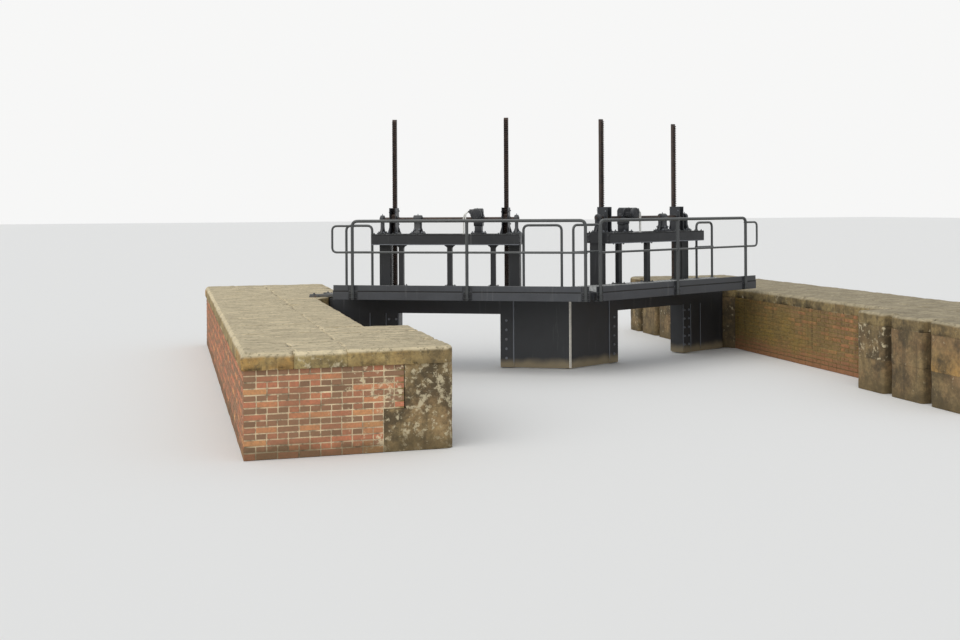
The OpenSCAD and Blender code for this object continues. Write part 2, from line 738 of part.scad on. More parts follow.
mirrored() on_left_leaf() hoist_beams();  // right_hoist_beams
mirrored() on_left_leaf() hoist_legs();  // right_hoist_legs
mirrored() on_left_leaf() rack_guides();  // right_rack_guides
mirrored() on_left_leaf() shaft_bearings();  // right_shaft_bearings
mirrored() on_left_leaf() gear_motor();  // right_gear_motor
mirrored() on_left_leaf() motor_cables();  // right_motor_cables
mirrored() on_left_leaf() drive_shaft();  // right_drive_shaft
mirrored() on_left_leaf() racks();  // right_racks
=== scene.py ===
# Dresses the sluice gate: weathered masonry, painted steel, bolts, rails and hoist gear.
# Metres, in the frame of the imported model. Each half is built for one bank and mirrored for the other.
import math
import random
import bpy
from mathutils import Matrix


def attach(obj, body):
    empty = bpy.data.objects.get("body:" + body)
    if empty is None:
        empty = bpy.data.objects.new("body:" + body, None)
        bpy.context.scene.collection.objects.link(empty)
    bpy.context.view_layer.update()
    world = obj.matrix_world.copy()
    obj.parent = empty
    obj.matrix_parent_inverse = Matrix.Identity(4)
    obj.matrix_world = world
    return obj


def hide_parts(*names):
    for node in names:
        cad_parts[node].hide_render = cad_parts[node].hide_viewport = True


bl_info = {
    "name": "Sluice Gate",
    "version": (1, 0, 0),
    "blender": (4, 5, 0),
    "location": "View3D > Sidebar > Sluice Gate",
    "description": "Builds the masonry, fittings and finishes of a pair of sluice gate leaves",
    "category": "Object",
}

import bmesh
import bpy
from bpy.props import FloatProperty, FloatVectorProperty, IntProperty, PointerProperty
from mathutils import Matrix, Vector, noise
from mathutils.bvhtree import BVHTree

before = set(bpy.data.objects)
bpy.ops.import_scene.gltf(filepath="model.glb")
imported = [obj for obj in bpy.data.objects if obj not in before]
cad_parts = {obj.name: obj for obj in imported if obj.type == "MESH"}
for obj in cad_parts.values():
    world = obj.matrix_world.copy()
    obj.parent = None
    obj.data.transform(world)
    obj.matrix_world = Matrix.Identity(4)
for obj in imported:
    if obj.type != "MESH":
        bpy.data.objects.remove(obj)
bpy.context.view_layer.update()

SIDES = ("left", "right")
MIRROR = Matrix.Diagonal((-1, 1, 1, 1))
MITRE_ANGLE = math.radians(25.5)
UP = Vector((0, 0, 1))
# Points nearer than this are one point
SAME = 1e-5


def wall_frame(side):
    """Walls are drawn on the +X bank."""
    return MIRROR.copy() if side == "left" else Matrix.Identity(4)


def leaf_frame(side):
    """Leaves are drawn from the mitre: x along the face to the heel, y towards the front, z up."""
    turn = Matrix.Rotation(math.pi - MITRE_ANGLE, 4, "Z")
    return turn if side == "left" else MIRROR @ turn


# Sizes and colours that a user would change


class MasonrySizes(bpy.types.PropertyGroup):
    nose_x: FloatProperty(name="Nose Face", description="From the middle of the lock to a nose", default=3.25,
                          unit="LENGTH")
    recess_x: FloatProperty(name="Recess Face", description="From the middle of the lock to the recess", default=3.80,
                            unit="LENGTH")
    outer_x: FloatProperty(name="Outer Face", description="From the middle of the lock to the back of a wall",
                           default=5.50, unit="LENGTH")
    end_y: FloatProperty(name="Wall End", description="From the middle of a wall to its end", default=5.30,
                         unit="LENGTH")
    nose_y: FloatProperty(name="Nose End", description="Where the near nose meets the recess", default=-2.97,
                          unit="LENGTH")
    quoin_y: FloatVectorProperty(name="Quoin", description="Both ends of the hollow quoin stone", size=2,
                                 default=(1.629, 2.455), unit="LENGTH")
    near_grooves: FloatVectorProperty(name="Near Grooves",
                                      description="Distances of the near stop log grooves from the middle of a wall",
                                      size=2, default=(3.69, 4.52), unit="LENGTH")
    far_grooves: FloatVectorProperty(name="Far Grooves",
                                     description="Distances of the far stop log grooves from the middle of a wall",
                                     size=2, default=(3.87, 4.71), unit="LENGTH")
    groove: FloatProperty(name="Groove Size", description="Width and depth of a stop log groove", default=0.15,
                          unit="LENGTH")
    lip: FloatProperty(name="Lip Radius", description="Radius of the worn stone edges at the grooves", default=0.06,
                       unit="LENGTH")
    nose_lip: FloatProperty(name="Nose Radius", description="Radius of the nose corner at the recess", default=0.08,
                            unit="LENGTH")
    end_lip: FloatProperty(name="End Radius", description="Radius of the corner stones at the ends of a wall",
                           default=0.10, unit="LENGTH")
    crown: FloatProperty(name="Worn Crown", description="Radius of the worn upper edges of the coping", default=0.078,
                         unit="LENGTH")
    coping_z: FloatProperty(name="Coping Underside", description="Height of the brickwork", default=0.93, unit="LENGTH")
    wall_z: FloatProperty(name="Coping Top", description="Height of the wall over the water", default=1.12,
                          unit="LENGTH")
    overhang: FloatProperty(name="Coping Overhang",
                            description="How far the coping stands out over the back and the ends", default=0.03,
                            unit="LENGTH")
    bed_z: FloatProperty(name="Bed Joint", description="Height of the joint between the nose stones", default=0.457,
                         unit="LENGTH")
    long_quoin: FloatProperty(name="Long Quoin",
                              description="How far the lower corner stone reaches into the brickwork", default=0.23,
                              unit="LENGTH")
    brick: FloatProperty(name="Brick Length", description="Length of a stretcher", default=0.210, unit="LENGTH")
    course: FloatProperty(name="Course", description="Height of a brick and its joint", default=0.0664, unit="LENGTH")
    joint: FloatProperty(name="Mortar Joint", description="Width of the joint between bricks", default=0.0135,
                         unit="LENGTH")
    joint_depth: FloatProperty(name="Joint Depth", description="How far the mortar lies behind the brick faces",
                               default=0.009, unit="LENGTH")
    stone_wear: FloatProperty(name="Stone Wear", description="How deep the weather has worn the stones", default=0.015,
                              unit="LENGTH")
    cell: FloatProperty(name="Stone Cell", description="Size of the cells that a stone is worn in", default=0.055,
                        unit="LENGTH")


class MasonryColours(bpy.types.PropertyGroup):
    brick_red: FloatVectorProperty(name="Brick Red", description="Colour of the red bricks", subtype="COLOR",
                                   default=(0.740, 0.250, 0.132), size=3)
    brick_dark: FloatVectorProperty(name="Brick Dark", description="Colour of the overburnt bricks", subtype="COLOR",
                                    default=(0.305, 0.175, 0.100), size=3)
    brick_orange: FloatVectorProperty(name="Brick Orange", description="Colour of the soft bricks", subtype="COLOR",
                                      default=(0.790, 0.400, 0.160), size=3)
    mortar: FloatVectorProperty(name="Mortar", description="Colour of the lime mortar", subtype="COLOR",
                                default=(0.970, 0.815, 0.530), size=3)
    coping: FloatVectorProperty(name="Coping Top", description="Colour of the coping's worn top", subtype="COLOR",
                                default=(0.790, 0.670, 0.440), size=3)
    coping_side: FloatVectorProperty(name="Coping Side", description="Colour of the coping's sides", subtype="COLOR",
                                     default=(0.380, 0.290, 0.120), size=3)
    ochre: FloatVectorProperty(name="Ochre", description="Colour of the fresh sandstone", subtype="COLOR",
                               default=(0.520, 0.300, 0.090), size=3)
    stone: FloatVectorProperty(name="Stone", description="Colour of the nose stones", subtype="COLOR",
                               default=(0.285, 0.205, 0.095), size=3)
    stone_dark: FloatVectorProperty(name="Stone Crust", description="Colour of the dark crust on the stones",
                                    subtype="COLOR", default=(0.060, 0.046, 0.026), size=3)
    lichen: FloatVectorProperty(name="Lichen", description="Colour of the pale lichen", subtype="COLOR",
                                default=(0.640, 0.550, 0.360), size=3)
    damp: FloatVectorProperty(name="Damp Foot", description="Colour of the damp foot of a wall", subtype="COLOR",
                              default=(0.110, 0.080, 0.036), size=3)
    moss: FloatVectorProperty(name="Moss Film", description="Colour of the film on the wet wall of the recess",
                              subtype="COLOR", default=(0.330, 0.225, 0.040), size=3)


class LeafSizes(bpy.types.PropertyGroup):
    heel_s: FloatProperty(name="Turning Axis", description="From the mitre to the turning axis, along the face",
                          default=3.93, unit="LENGTH")
    leaf_thickness: FloatProperty(name="Leaf Thickness", description="From the face of a leaf to its back",
                                  default=0.25, unit="LENGTH")
    girder_z: FloatProperty(name="Girder Underside", description="Height of the top of the sluice bay", default=0.87,
                            unit="LENGTH")
    leaf_top: FloatProperty(name="Leaf Top", description="Height of the underside of the deck", default=1.298,
                            unit="LENGTH")
    bay: FloatVectorProperty(name="Sluice Bay", description="Both sides of the bay, from the mitre", size=2,
                             default=(1.135, 2.830), unit="LENGTH")
    bay_post: FloatProperty(name="Bay Post Width", description="Width of the posts beside the bay", default=0.205,
                            unit="LENGTH")
    bolt_rows: FloatVectorProperty(name="Bolt Rows", description="Places of the bolt rows on the face, from the mitre",
                                   size=3, default=(1.036, 2.875, 2.995), unit="LENGTH")
    bolt_foot: FloatProperty(name="Lowest Bolt", description="Height of the lowest bolt of a row", default=0.158,
                             unit="LENGTH")
    bolt_pitch: FloatProperty(name="Bolt Pitch", description="Distance between the bolts of a row", default=0.1525,
                              unit="LENGTH")
    bolts_in_row: IntProperty(name="Bolts in a Row", description="Number of bolts in each row", default=5, min=2, max=9)
    bolt_head: FloatProperty(name="Bolt Head", description="Width of a bolt's head across its corners", default=0.034,
                             unit="LENGTH")
    seal_width: FloatProperty(name="Seal Width", description="Width of the seal strip on the mitre", default=0.026,
                              unit="LENGTH")


class DeckSizes(bpy.types.PropertyGroup):
    fascia_n: FloatProperty(name="Fascia", description="From the leaf face to the fascia's face", default=0.96,
                            unit="LENGTH")
    fascia_z: FloatProperty(name="Fascia Foot", description="Height of the fascia's lower edge", default=1.16,
                            unit="LENGTH")
    fascia_end: FloatProperty(name="Fascia End", description="From the mitre to the fascia's heel end", default=3.66,
                              unit="LENGTH")
    deck_z: FloatProperty(name="Deck Top", description="Height of the walking surface", default=1.306, unit="LENGTH")
    tread_pitch: FloatProperty(name="Tread Pitch", description="Distance between the raised bars of the chequer plate",
                               default=0.040, unit="LENGTH")
    tread_bar: FloatVectorProperty(name="Tread Bar", description="Length, width and height of a raised bar", size=3,
                                   default=(0.030, 0.008, 0.0018), unit="LENGTH")
    toe_z: FloatProperty(name="Toe Board Top", description="Height of the top of the toe board", default=1.39,
                         unit="LENGTH")
    post_s: FloatVectorProperty(name="Front Posts", description="Places of the front posts, from the mitre", size=3,
                                default=(-0.336, 1.496, 3.328), unit="LENGTH")
    rail_n: FloatProperty(name="Front Railing", description="From the leaf face to the front railing", default=0.985,
                          unit="LENGTH")
    rail_z: FloatProperty(name="Top Rail", description="Height of the middle of the top rail", default=2.397,
                          unit="LENGTH")
    mid_z: FloatProperty(name="Mid Rail", description="Height of the middle of the mid rail", default=1.907,
                         unit="LENGTH")
    rail_r: FloatProperty(name="Rail Radius", description="Radius of the top rail and the posts", default=0.025,
                          unit="LENGTH")
    mid_r: FloatProperty(name="Mid Rail Radius", description="Radius of the mid rail and the loop", default=0.017,
                         unit="LENGTH")
    loop_s: FloatProperty(name="Loop End", description="From the mitre to the end of the outward loop", default=3.655,
                          unit="LENGTH")
    loop_z: FloatProperty(name="Loop Top", description="Height of the top of the outward loop", default=2.322,
                          unit="LENGTH")
    bend_r: FloatProperty(name="Bend Radius", description="Radius of the bends in the rails", default=0.09,
                          unit="LENGTH")
    hoop_n: FloatProperty(name="Back Hoops", description="From the leaf face back to the hoops", default=0.05,
                          unit="LENGTH")
    hoop_z: FloatProperty(name="Hoop Top", description="Height of the middle of a hoop's top", default=2.31,
                          unit="LENGTH")
    hoop_mid_z: FloatProperty(name="Hoop Mid Rail", description="Height of a hoop's mid rail", default=1.87,
                              unit="LENGTH")
    hoop_r: FloatProperty(name="Hoop Radius", description="Radius of a hoop's tube", default=0.021, unit="LENGTH")
    hoop_s: FloatVectorProperty(name="Hoop Posts", description="Places of the hoops' posts, from the mitre", size=4,
                                default=(0.135, 0.755, 3.290, 3.735), unit="LENGTH")


class HoistSizes(bpy.types.PropertyGroup):
    beam_z: FloatProperty(name="Beam Underside", description="Height of the hoist beams' lower edge", default=1.995,
                          unit="LENGTH")
    beam_top: FloatProperty(name="Beam Top", description="Height of the top of the hoist beams", default=2.170,
                            unit="LENGTH")
    beam_s: FloatVectorProperty(name="Beam Ends", description="Both ends of the hoist beams, from the mitre", size=2,
                                default=(0.80, 3.25), unit="LENGTH")
    beam_n: FloatVectorProperty(name="Beam Faces", description="Back and front of the hoist beams, from the leaf face",
                                size=2, default=(-0.385, 0.150), unit="LENGTH")
    rack_s: FloatVectorProperty(name="Racks", description="Places of the racks, from the mitre", size=2,
                                default=(1.07, 2.96), unit="LENGTH")
    leg_s: FloatVectorProperty(name="Thin Legs", description="Places of the thin legs, from the mitre", size=3,
                               default=(1.26, 1.9825, 2.80), unit="LENGTH")
    stand_s: FloatVectorProperty(name="Bearing Stands", description="Places of the bearing stands, from the mitre",
                                 size=3, default=(0.89, 2.545, 3.1533), unit="LENGTH")
    shaft_n: FloatProperty(name="Shaft Line", description="From the leaf face back to the drive shaft", default=-0.21,
                           unit="LENGTH")
    shaft_z: FloatProperty(name="Shaft Height", description="Height of the drive shaft", default=2.42, unit="LENGTH")
    motor_s: FloatProperty(name="Motor", description="Middle of the gear motor, from the mitre", default=1.52,
                           unit="LENGTH")
    motor_r: FloatProperty(name="Motor Radius", description="Radius over the motor's fins", default=0.092,
                           unit="LENGTH")
    motor_z: FloatProperty(name="Motor Height", description="Height of the motor's middle", default=2.495,
                           unit="LENGTH")
    motor_n: FloatProperty(name="Motor Front", description="From the leaf face to the motor's front end", default=0.085,
                           unit="LENGTH")


class SteelColours(bpy.types.PropertyGroup):
    leaf_paint: FloatVectorProperty(name="Leaf Paint", description="Anthracite paint of the leaves", subtype="COLOR",
                                    default=(0.029, 0.031, 0.035), size=3)
    rail_paint: FloatVectorProperty(name="Rail Paint", description="Paint of the railings", subtype="COLOR",
                                    default=(0.055, 0.059, 0.060), size=3)
    gear_paint: FloatVectorProperty(name="Gear Paint", description="Paint of the hoist's castings", subtype="COLOR",
                                    default=(0.026, 0.028, 0.032), size=3)
    chalk: FloatVectorProperty(name="Chalk", description="Dust and chalking on upward faces", subtype="COLOR",
                               default=(0.190, 0.195, 0.190), size=3)
    tide: FloatVectorProperty(name="Tide Mark", description="Dried mud at the waterline", subtype="COLOR",
                              default=(0.285, 0.232, 0.145), size=3)
    rust: FloatVectorProperty(name="Rust", description="Rust runs and spots", subtype="COLOR",
                              default=(0.165, 0.062, 0.022), size=3)
    rack_steel: FloatVectorProperty(name="Rack Steel", description="Greased steel of the racks and the shaft",
                                    subtype="COLOR", default=(0.090, 0.062, 0.050), size=3)
    cable: FloatVectorProperty(name="Cable", description="Pale conduit of the motor cables", subtype="COLOR",
                               default=(0.820, 0.820, 0.780), size=3)
    seal: FloatVectorProperty(name="Seal", description="Weathered rubber seal", subtype="COLOR",
                              default=(0.930, 0.890, 0.800), size=3)


class StageSettings(bpy.types.PropertyGroup):
    floor: FloatVectorProperty(name="Floor", description="Colour of the floor", subtype="COLOR",
                               default=(0.80, 0.80, 0.79), size=3)
    sky: FloatProperty(name="Sky Light", description="Strength of the soft light from all round", default=0.63, min=0,
                       max=2)
    sun: FloatProperty(name="Key Light", description="Strength of the wide key light", default=1.50, min=0, max=5)
    camera_place: FloatVectorProperty(name="Camera Place", description="Where the camera stands", size=3,
                                      default=(-6.2684, -17.2847, 2.5986), unit="LENGTH")
    camera_yaw: FloatProperty(name="Camera Yaw", description="Turn of the camera to the right of +Y",
                              default=math.radians(15.4485), unit="ROTATION")
    camera_roll: FloatProperty(name="Camera Roll", description="Roll of the camera to the right",
                               default=math.radians(0.3168), unit="ROTATION")
    lens: FloatProperty(name="Focal Length", description="Focal length on a 36 mm sensor", default=42.791)
    shift_y: FloatProperty(name="Vertical Shift", description="Shift that holds the horizon in the frame",
                           default=-0.11695)


# Finishes: node helpers, effects that several materials use as node groups, and the materials


def new_group(name, result, inputs):
    """An empty node group, with the sockets of its float inputs and of its one result."""
    tree = bpy.data.node_groups.new(name, "ShaderNodeTree")
    for label, default in inputs.items():
        socket = tree.interface.new_socket(label, in_out="INPUT", socket_type="NodeSocketFloat")
        socket.default_value = default
    tree.interface.new_socket(result, in_out="OUTPUT", socket_type="NodeSocketFloat")
    return tree, tree.nodes.new("NodeGroupInput").outputs, tree.nodes.new("NodeGroupOutput").inputs[0]


def add(tree, kind, links=(), **settings):
    """Adds a node, sets its properties, and sets its inputs or joins other nodes' outputs to them."""
    node = tree.nodes.new(kind)
    for key, value in settings.items():
        setattr(node, key, value)
    for socket, source in links:
        if isinstance(source, bpy.types.NodeSocket):
            tree.links.new(source, node.inputs[socket])
        else:
            node.inputs[socket].default_value = source
    return node


def mix(tree, factor, first, second):
    """Mixes two colours and gives the result's socket."""
    first, second = (c if isinstance(c, bpy.types.NodeSocket) else (*c, 1) for c in (first, second))
    links = ((0, factor), (6, first), (7, second))
    return add(tree, "ShaderNodeMix", links, data_type="RGBA", clamp_factor=True).outputs[2]


def math_node(tree, operation, first, second=0.0, clamp=False):
    """A sum on two values, with its result's socket."""
    return add(tree, "ShaderNodeMath", ((0, first), (1, second)), operation=operation, use_clamp=clamp).outputs[0]


def times(tree, first, second):
    """One value times another."""
    return math_node(tree, "MULTIPLY", first, second)


def plus(tree, first, second):
    """The sum of two values."""
    return math_node(tree, "ADD", first, second)


def minus(tree, first, second):
    """The difference of two values."""
    return math_node(tree, "SUBTRACT", first, second)


def place_on(tree):
    """The place on the object, in metres."""
    return add(tree, "ShaderNodeTexCoord").outputs["Object"]


def noise_on(tree, vector, scale, detail, roughness=0.5):
    """Fractal noise at a place."""
    links = (("Vector", vector), ("Scale", scale), ("Detail", detail), ("Roughness", roughness))
    return add(tree, "ShaderNodeTexNoise", links).outputs[0]


def step(tree, value, low, high):
    """A smooth step from 0 at low to 1 at high."""
    return add(tree, "ShaderNodeMapRange", (("Value", value), ("From Min", low), ("From Max", high)),
               interpolation_type="SMOOTHSTEP").outputs[0]


def patches_group():
    """Blotches: Cover is the share of the surface that they take."""
    tree, given, out = new_group("Weather Patches", "Mask", {"Scale": 3.0, "Cover": 0.4, "Softness": 0.1, "Seed": 0.0})
    place = place_on(tree)
    moved = add(tree, "ShaderNodeVectorMath", ((0, place), (1, given["Seed"])), operation="ADD").outputs[0]
    grain = noise_on(tree, moved, given["Scale"], 7.0, 0.68)
    edge = minus(tree, 0.78, times(tree, given["Cover"], 0.56))
    mask = step(tree, grain, minus(tree, edge, given["Softness"]), plus(tree, edge, given["Softness"]))
    tree.links.new(mask, out)
    return tree


def tide_group():
    """Damp foot: 1 at the water level, 0 over Height, with a ragged edge."""
    tree, given, out = new_group("Tide Mark", "Mask", {"Height": 0.15, "Ragged": 0.08})
    place = place_on(tree)
    z = add(tree, "ShaderNodeSeparateXYZ", ((0, place),)).outputs["Z"]
    grain = noise_on(tree, place, 4.0, 5.0)
    ragged = times(tree, minus(tree, grain, 0.5), times(tree, given["Ragged"], 4.0))
    mask = step(tree, plus(tree, z, ragged), given["Height"], times(tree, given["Height"], 0.25))
    tree.links.new(mask, out)
    return tree


def facing_group():
    """Upward faces: 1 where a face looks up."""
    tree, given, out = new_group("Upward Faces", "Mask", {"Start": 0.35, "Full": 0.9})
    normal = add(tree, "ShaderNodeNewGeometry").outputs["Normal"]
    z = add(tree, "ShaderNodeSeparateXYZ", ((0, normal),)).outputs["Z"]
    tree.links.new(step(tree, z, given["Start"], given["Full"]), out)
    return tree


def grain_group():
    """Height of a rough surface: a coarse swell with a fine grain on it."""
    tree, given, out = new_group("Surface Grain", "Height", {"Coarse": 8.0, "Fine": 60.0, "Fine Share": 0.4})
    place = place_on(tree)
    coarse = noise_on(tree, place, given["Coarse"], 4.0)
    fine = noise_on(tree, place, given["Fine"], 5.0, 0.65)
    height = plus(tree, coarse, times(tree, fine, given["Fine Share"]))
    tree.links.new(height, out)
    return tree


def runs_group():
    """Streaks that run down the surface."""
    tree, given, out = new_group("Water Runs", "Mask", {"Scale": 9.0, "Cover": 0.3})
    place = place_on(tree)
    long = add(tree, "ShaderNodeMapping", (("Vector", place), ("Scale", (1.0, 1.0, 0.07)))).outputs[0]
    grain = noise_on(tree, long, given["Scale"], 4.0, 0.6)
    edge = minus(tree, 0.75, times(tree, given["Cover"], 0.5))
    tree.links.new(step(tree, grain, edge, plus(tree, edge, 0.12)), out)
    return tree


def lock_side_group():
    """Lock side: 1 on the masonry next to the lock, 0 from Far outwards."""
    tree, given, out = new_group("Lock Side", "Mask", {"Near": 3.82, "Far": 3.95})
    place = place_on(tree)
    x = math_node(tree, "ABSOLUTE", add(tree, "ShaderNodeSeparateXYZ", ((0, place),)).outputs["X"])
    tree.links.new(step(tree, x, given["Far"], given["Near"]), out)
    return tree


def wet_wall_group():
    """Wet wall: 1 on the recess wall by the gate and low down, 0 high up by the nose, with a ragged edge."""
    tree, given, out = new_group("Wet Wall", "Mask", {"Ragged": 1.6})
    place = place_on(tree)
    parts = add(tree, "ShaderNodeSeparateXYZ", ((0, place),))
    grain = noise_on(tree, place, 1.7, 5.0)
    ragged = times(tree, minus(tree, grain, 0.5), given["Ragged"])
    along = plus(tree, times(tree, parts.outputs["Y"], 0.42), times(tree, parts.outputs["Z"], -0.9))
    tree.links.new(step(tree, plus(tree, along, ragged), -1.35, -0.05), out)
    return tree


GROUP_MAKERS = {"Weather Patches": patches_group, "Tide Mark": tide_group, "Upward Faces": facing_group,
                "Surface Grain": grain_group, "Water Runs": runs_group, "Lock Side": lock_side_group,
                "Wet Wall": wet_wall_group}


def effect(tree, name, **values):
    """Places a shared effect with its own values, and gives its output's socket."""
    group = bpy.data.node_groups.get(name) or GROUP_MAKERS[name]()
    links = [(label.replace("_", " "), value) for label, value in values.items()]
    return add(tree, "ShaderNodeGroup", links, node_tree=group).outputs[0]


def blotches(tree, scale, cover, softness, seed=0.0):
    """Weather patches of one size, over a share of the surface."""
    return effect(tree, "Weather Patches", Scale=scale, Cover=cover, Softness=softness, Seed=seed)


def new_material(name, metallic=0.0, roughness=0.7):
    """A material with a Principled shader, its node tree and the shader node."""
    material = bpy.data.materials.new(name)
    material.use_nodes = True
    shader = material.node_tree.nodes["Principled BSDF"]
    shader.inputs["Metallic"].default_value = metallic
    shader.inputs["Roughness"].default_value = roughness
    return material, material.node_tree, shader


def add_bump(tree, shader, height, distance, strength=1.0):
    """Feeds a height to the shader's normal. Distance is in metres."""
    bump = add(tree, "ShaderNodeBump", (("Height", height), ("Strength", strength), ("Distance", distance)))
    tree.links.new(bump.outputs[0], shader.inputs["Normal"])


def brick_material(colours, name, bloom, wet=False):
    """Bricks: each has its own tone, with soot, white bloom and a damp foot, or a film of moss on a wet wall."""
    material, tree, shader = new_material(name, roughness=0.9)
    tone = add(tree, "ShaderNodeAttribute", attribute_name="tone").outputs["Fac"]
    ramp = add(tree, "ShaderNodeValToRGB", ((0, tone),))
    marks = ((0.0, colours.brick_dark * 0.8), (0.34, colours.brick_dark * 1.1),
             (0.47, colours.brick_dark * 0.8 + colours.brick_red * 0.2),
             (0.58, colours.brick_dark * 0.4 + colours.brick_red * 0.6), (0.70, colours.brick_red),
             (1.0, colours.brick_orange))
    elements = ramp.color_ramp.elements
    for _ in range(len(marks) - 2):
        elements.new(0.5)
    for element, (place, colour) in zip(elements, marks):
        element.position, element.color = place, (*colour, 1)
    colour = mix(tree, times(tree, blotches(tree, 34.0, 0.5, 0.25), 0.55), ramp.outputs[0], colours.brick_dark * 0.8)
    colour = mix(tree, times(tree, blotches(tree, 2.2, 0.50, 0.18, 5.0), 0.42), colour,
                 colours.brick_dark * 0.7 + colours.damp * 0.3)
    cover = bloom if wet else plus(tree, bloom, times(tree, effect(tree, "Lock Side", Near=4.05, Far=4.75), 0.22))
    colour = mix(tree, times(tree, blotches(tree, 11.0, cover, 0.04, 11.0), 0.75), colour, colours.lichen * 1.3)
    if wet:
        film = plus(tree, 0.32, times(tree, effect(tree, "Wet Wall"), 0.56))
        tinted = mix(tree, blotches(tree, 2.4, 0.55, 0.30, 31.0), colours.moss * 0.40 + colours.damp * 0.60,
                     colours.moss)
        colour = mix(tree, film, colour, tinted)
        colour = mix(tree, times(tree, blotches(tree, 18.0, 0.5, 0.2, 37.0), 0.55), colour, colours.damp * 0.8)
        colour = mix(tree, times(tree, effect(tree, "Water Runs", Scale=11.0, Cover=0.40), 0.40), colour,
                     colours.damp * 0.6)
        colour = mix(tree, times(tree, blotches(tree, 15.0, 0.14, 0.03, 43.0), 0.6), colour, colours.lichen * 0.8)
        foot = times(tree, effect(tree, "Tide Mark", Height=0.34, Ragged=0.12), 0.75)
        colour = mix(tree, foot, colour, colours.brick_red * 0.30 + colours.damp * 0.7)
    else:
        colour = mix(tree, times(tree, effect(tree, "Tide Mark", Height=0.20, Ragged=0.08), 0.65), colour, colours.damp)
    tree.links.new(colour, shader.inputs["Base Color"])
    add_bump(tree, shader, effect(tree, "Surface Grain", Coarse=30.0, Fine=160.0, Fine_Share=0.5), 0.006)
    return material


def mortar_material(colours):
    """Lime mortar, pale where it is sound, dark where it has washed out, and mossy by the lock."""
    material, tree, shader = new_material("Mortar", roughness=0.95)
    colour = mix(tree, blotches(tree, 7.0, 0.38, 0.12), colours.mortar, colours.mortar * 0.18)
    colour = mix(tree, times(tree, blotches(tree, 2.2, 0.50, 0.18, 5.0), 0.42), colour, colours.brick_dark)
    colour = mix(tree, times(tree, effect(tree, "Lock Side"), 0.9), colour, colours.moss * 0.5 + colours.damp * 0.5)
    colour = mix(tree, times(tree, effect(tree, "Tide Mark", Height=0.20, Ragged=0.08), 0.65), colour, colours.damp)
    tree.links.new(colour, shader.inputs["Base Color"])
    add_bump(tree, shader, effect(tree, "Surface Grain", Coarse=40.0, Fine=180.0, Fine_Share=0.7), 0.004)
    return material


def stone_material(colours, name, body, crust_cover, lichen_cover, damp=0.2, top=None):
    """Worn stone: ochre by each stone's own tone, dark crust, runs and pale lichen. Top colours worn upper faces, and
    the rounded crown edges get a painted highlight in patches.
    """
    material, tree, shader = new_material(name, roughness=0.92)
    tone = add(tree, "ShaderNodeAttribute", attribute_name="tone").outputs["Fac"]
    poor = step(tree, tone, 0.32, 0.05)
    colour = mix(tree, blotches(tree, 4.2, 0.5, 0.22, 27.0), body * 0.50, body * 1.60)
    colour = mix(tree, times(tree, blotches(tree, 2.0, 0.40, 0.20, 51.0), 0.45), colour,
                 colours.brick_red * 0.25 + body * 0.7)
    rich = times(tree, step(tree, tone, 0.45, 0.95), blotches(tree, 2.6, 0.72, 0.22, 2.0))
    if top is None:
        rich = times(tree, rich, effect(tree, "Tide Mark", Height=0.95, Ragged=0.12))
    colour = mix(tree, rich, colour, colours.ochre)
    colour = mix(tree, times(tree, blotches(tree, 20.0, 0.5, 0.20, 8.0), 0.5), colour, colours.stone_dark * 1.5)
    height = effect(tree, "Surface Grain", Coarse=14.0, Fine=90.0, Fine_Share=0.45)
    worn, more = 0.0, times(tree, poor, 0.16)
    if top is not None:
        lock = effect(tree, "Lock Side", Near=3.6, Far=3.9)
        colour = mix(tree, times(tree, lock, 0.6), colour, colours.stone * 0.9)
        more = plus(tree, more, times(tree, lock, 0.24))
        worn = effect(tree, "Upward Faces", Start=0.10, Full=0.60)
        flat = effect(tree, "Upward Faces", Start=0.90, Full=0.99)
        place = place_on(tree)
        laid = add(tree, "ShaderNodeMapping", (("Vector", place), ("Scale", (0.14, 1.0, 1.0)))).outputs[0]
        ridges = noise_on(tree, laid, 17.0, 5.0, 0.65)
        surface = mix(tree, step(tree, ridges, 0.42, 0.60), top * 0.50, top)
        surface = mix(tree, times(tree, blotches(tree, 5.0, 0.45, 0.25, 19.0), 0.7), surface, top * 0.70)
        # Painted highlight: the rounded crown edges, where they are not flat, lighter in patches
        crown_highlight = times(tree, minus(tree, 1.0, flat), blotches(tree, 8.0, 0.62, 0.20, 71.0))
        surface = mix(tree, times(tree, crown_highlight, 0.75), surface, top * 1.12)
        surface = mix(tree, times(tree, tone, 0.40), surface, top * 0.60)
        colour = mix(tree, worn, colour, surface)
        height = plus(tree, height, times(tree, times(tree, ridges, worn), 2.6))
        specks = times(tree, blotches(tree, 24.0, 0.34, 0.07, 33.0), 0.62)
        colour = mix(tree, specks, colour, colours.stone_dark * 2.0)
    crust = blotches(tree, 3.4, plus(tree, more, crust_cover), 0.10, 13.0)
    crust = times(tree, crust, minus(tree, 0.80, times(tree, worn, 0.60)))
    colour = mix(tree, crust, colour, colours.stone_dark)
    runs = times(tree, effect(tree, "Water Runs", Scale=8.0, Cover=0.42), minus(tree, 0.5, times(tree, worn, 0.5)))
    colour = mix(tree, runs, colour, colours.stone_dark * 1.3)
    spread = plus(tree, lichen_cover, times(tree, poor, 0.16))
    spots = blotches(tree, 13.0, spread, 0.05, 21.0)
    colour = mix(tree, times(tree, spots, 0.8), colour, colours.lichen)
    flecks = blotches(tree, 48.0, 0.20, 0.05, 61.0)
    colour = mix(tree, times(tree, flecks, 0.5), colour, colours.lichen)
    if damp:
        colour = mix(tree, times(tree, effect(tree, "Tide Mark", Height=damp, Ragged=0.08), 0.6), colour, colours.damp)
    tree.links.new(colour, shader.inputs["Base Color"])
    add_bump(tree, shader, height, 0.012)
    return material


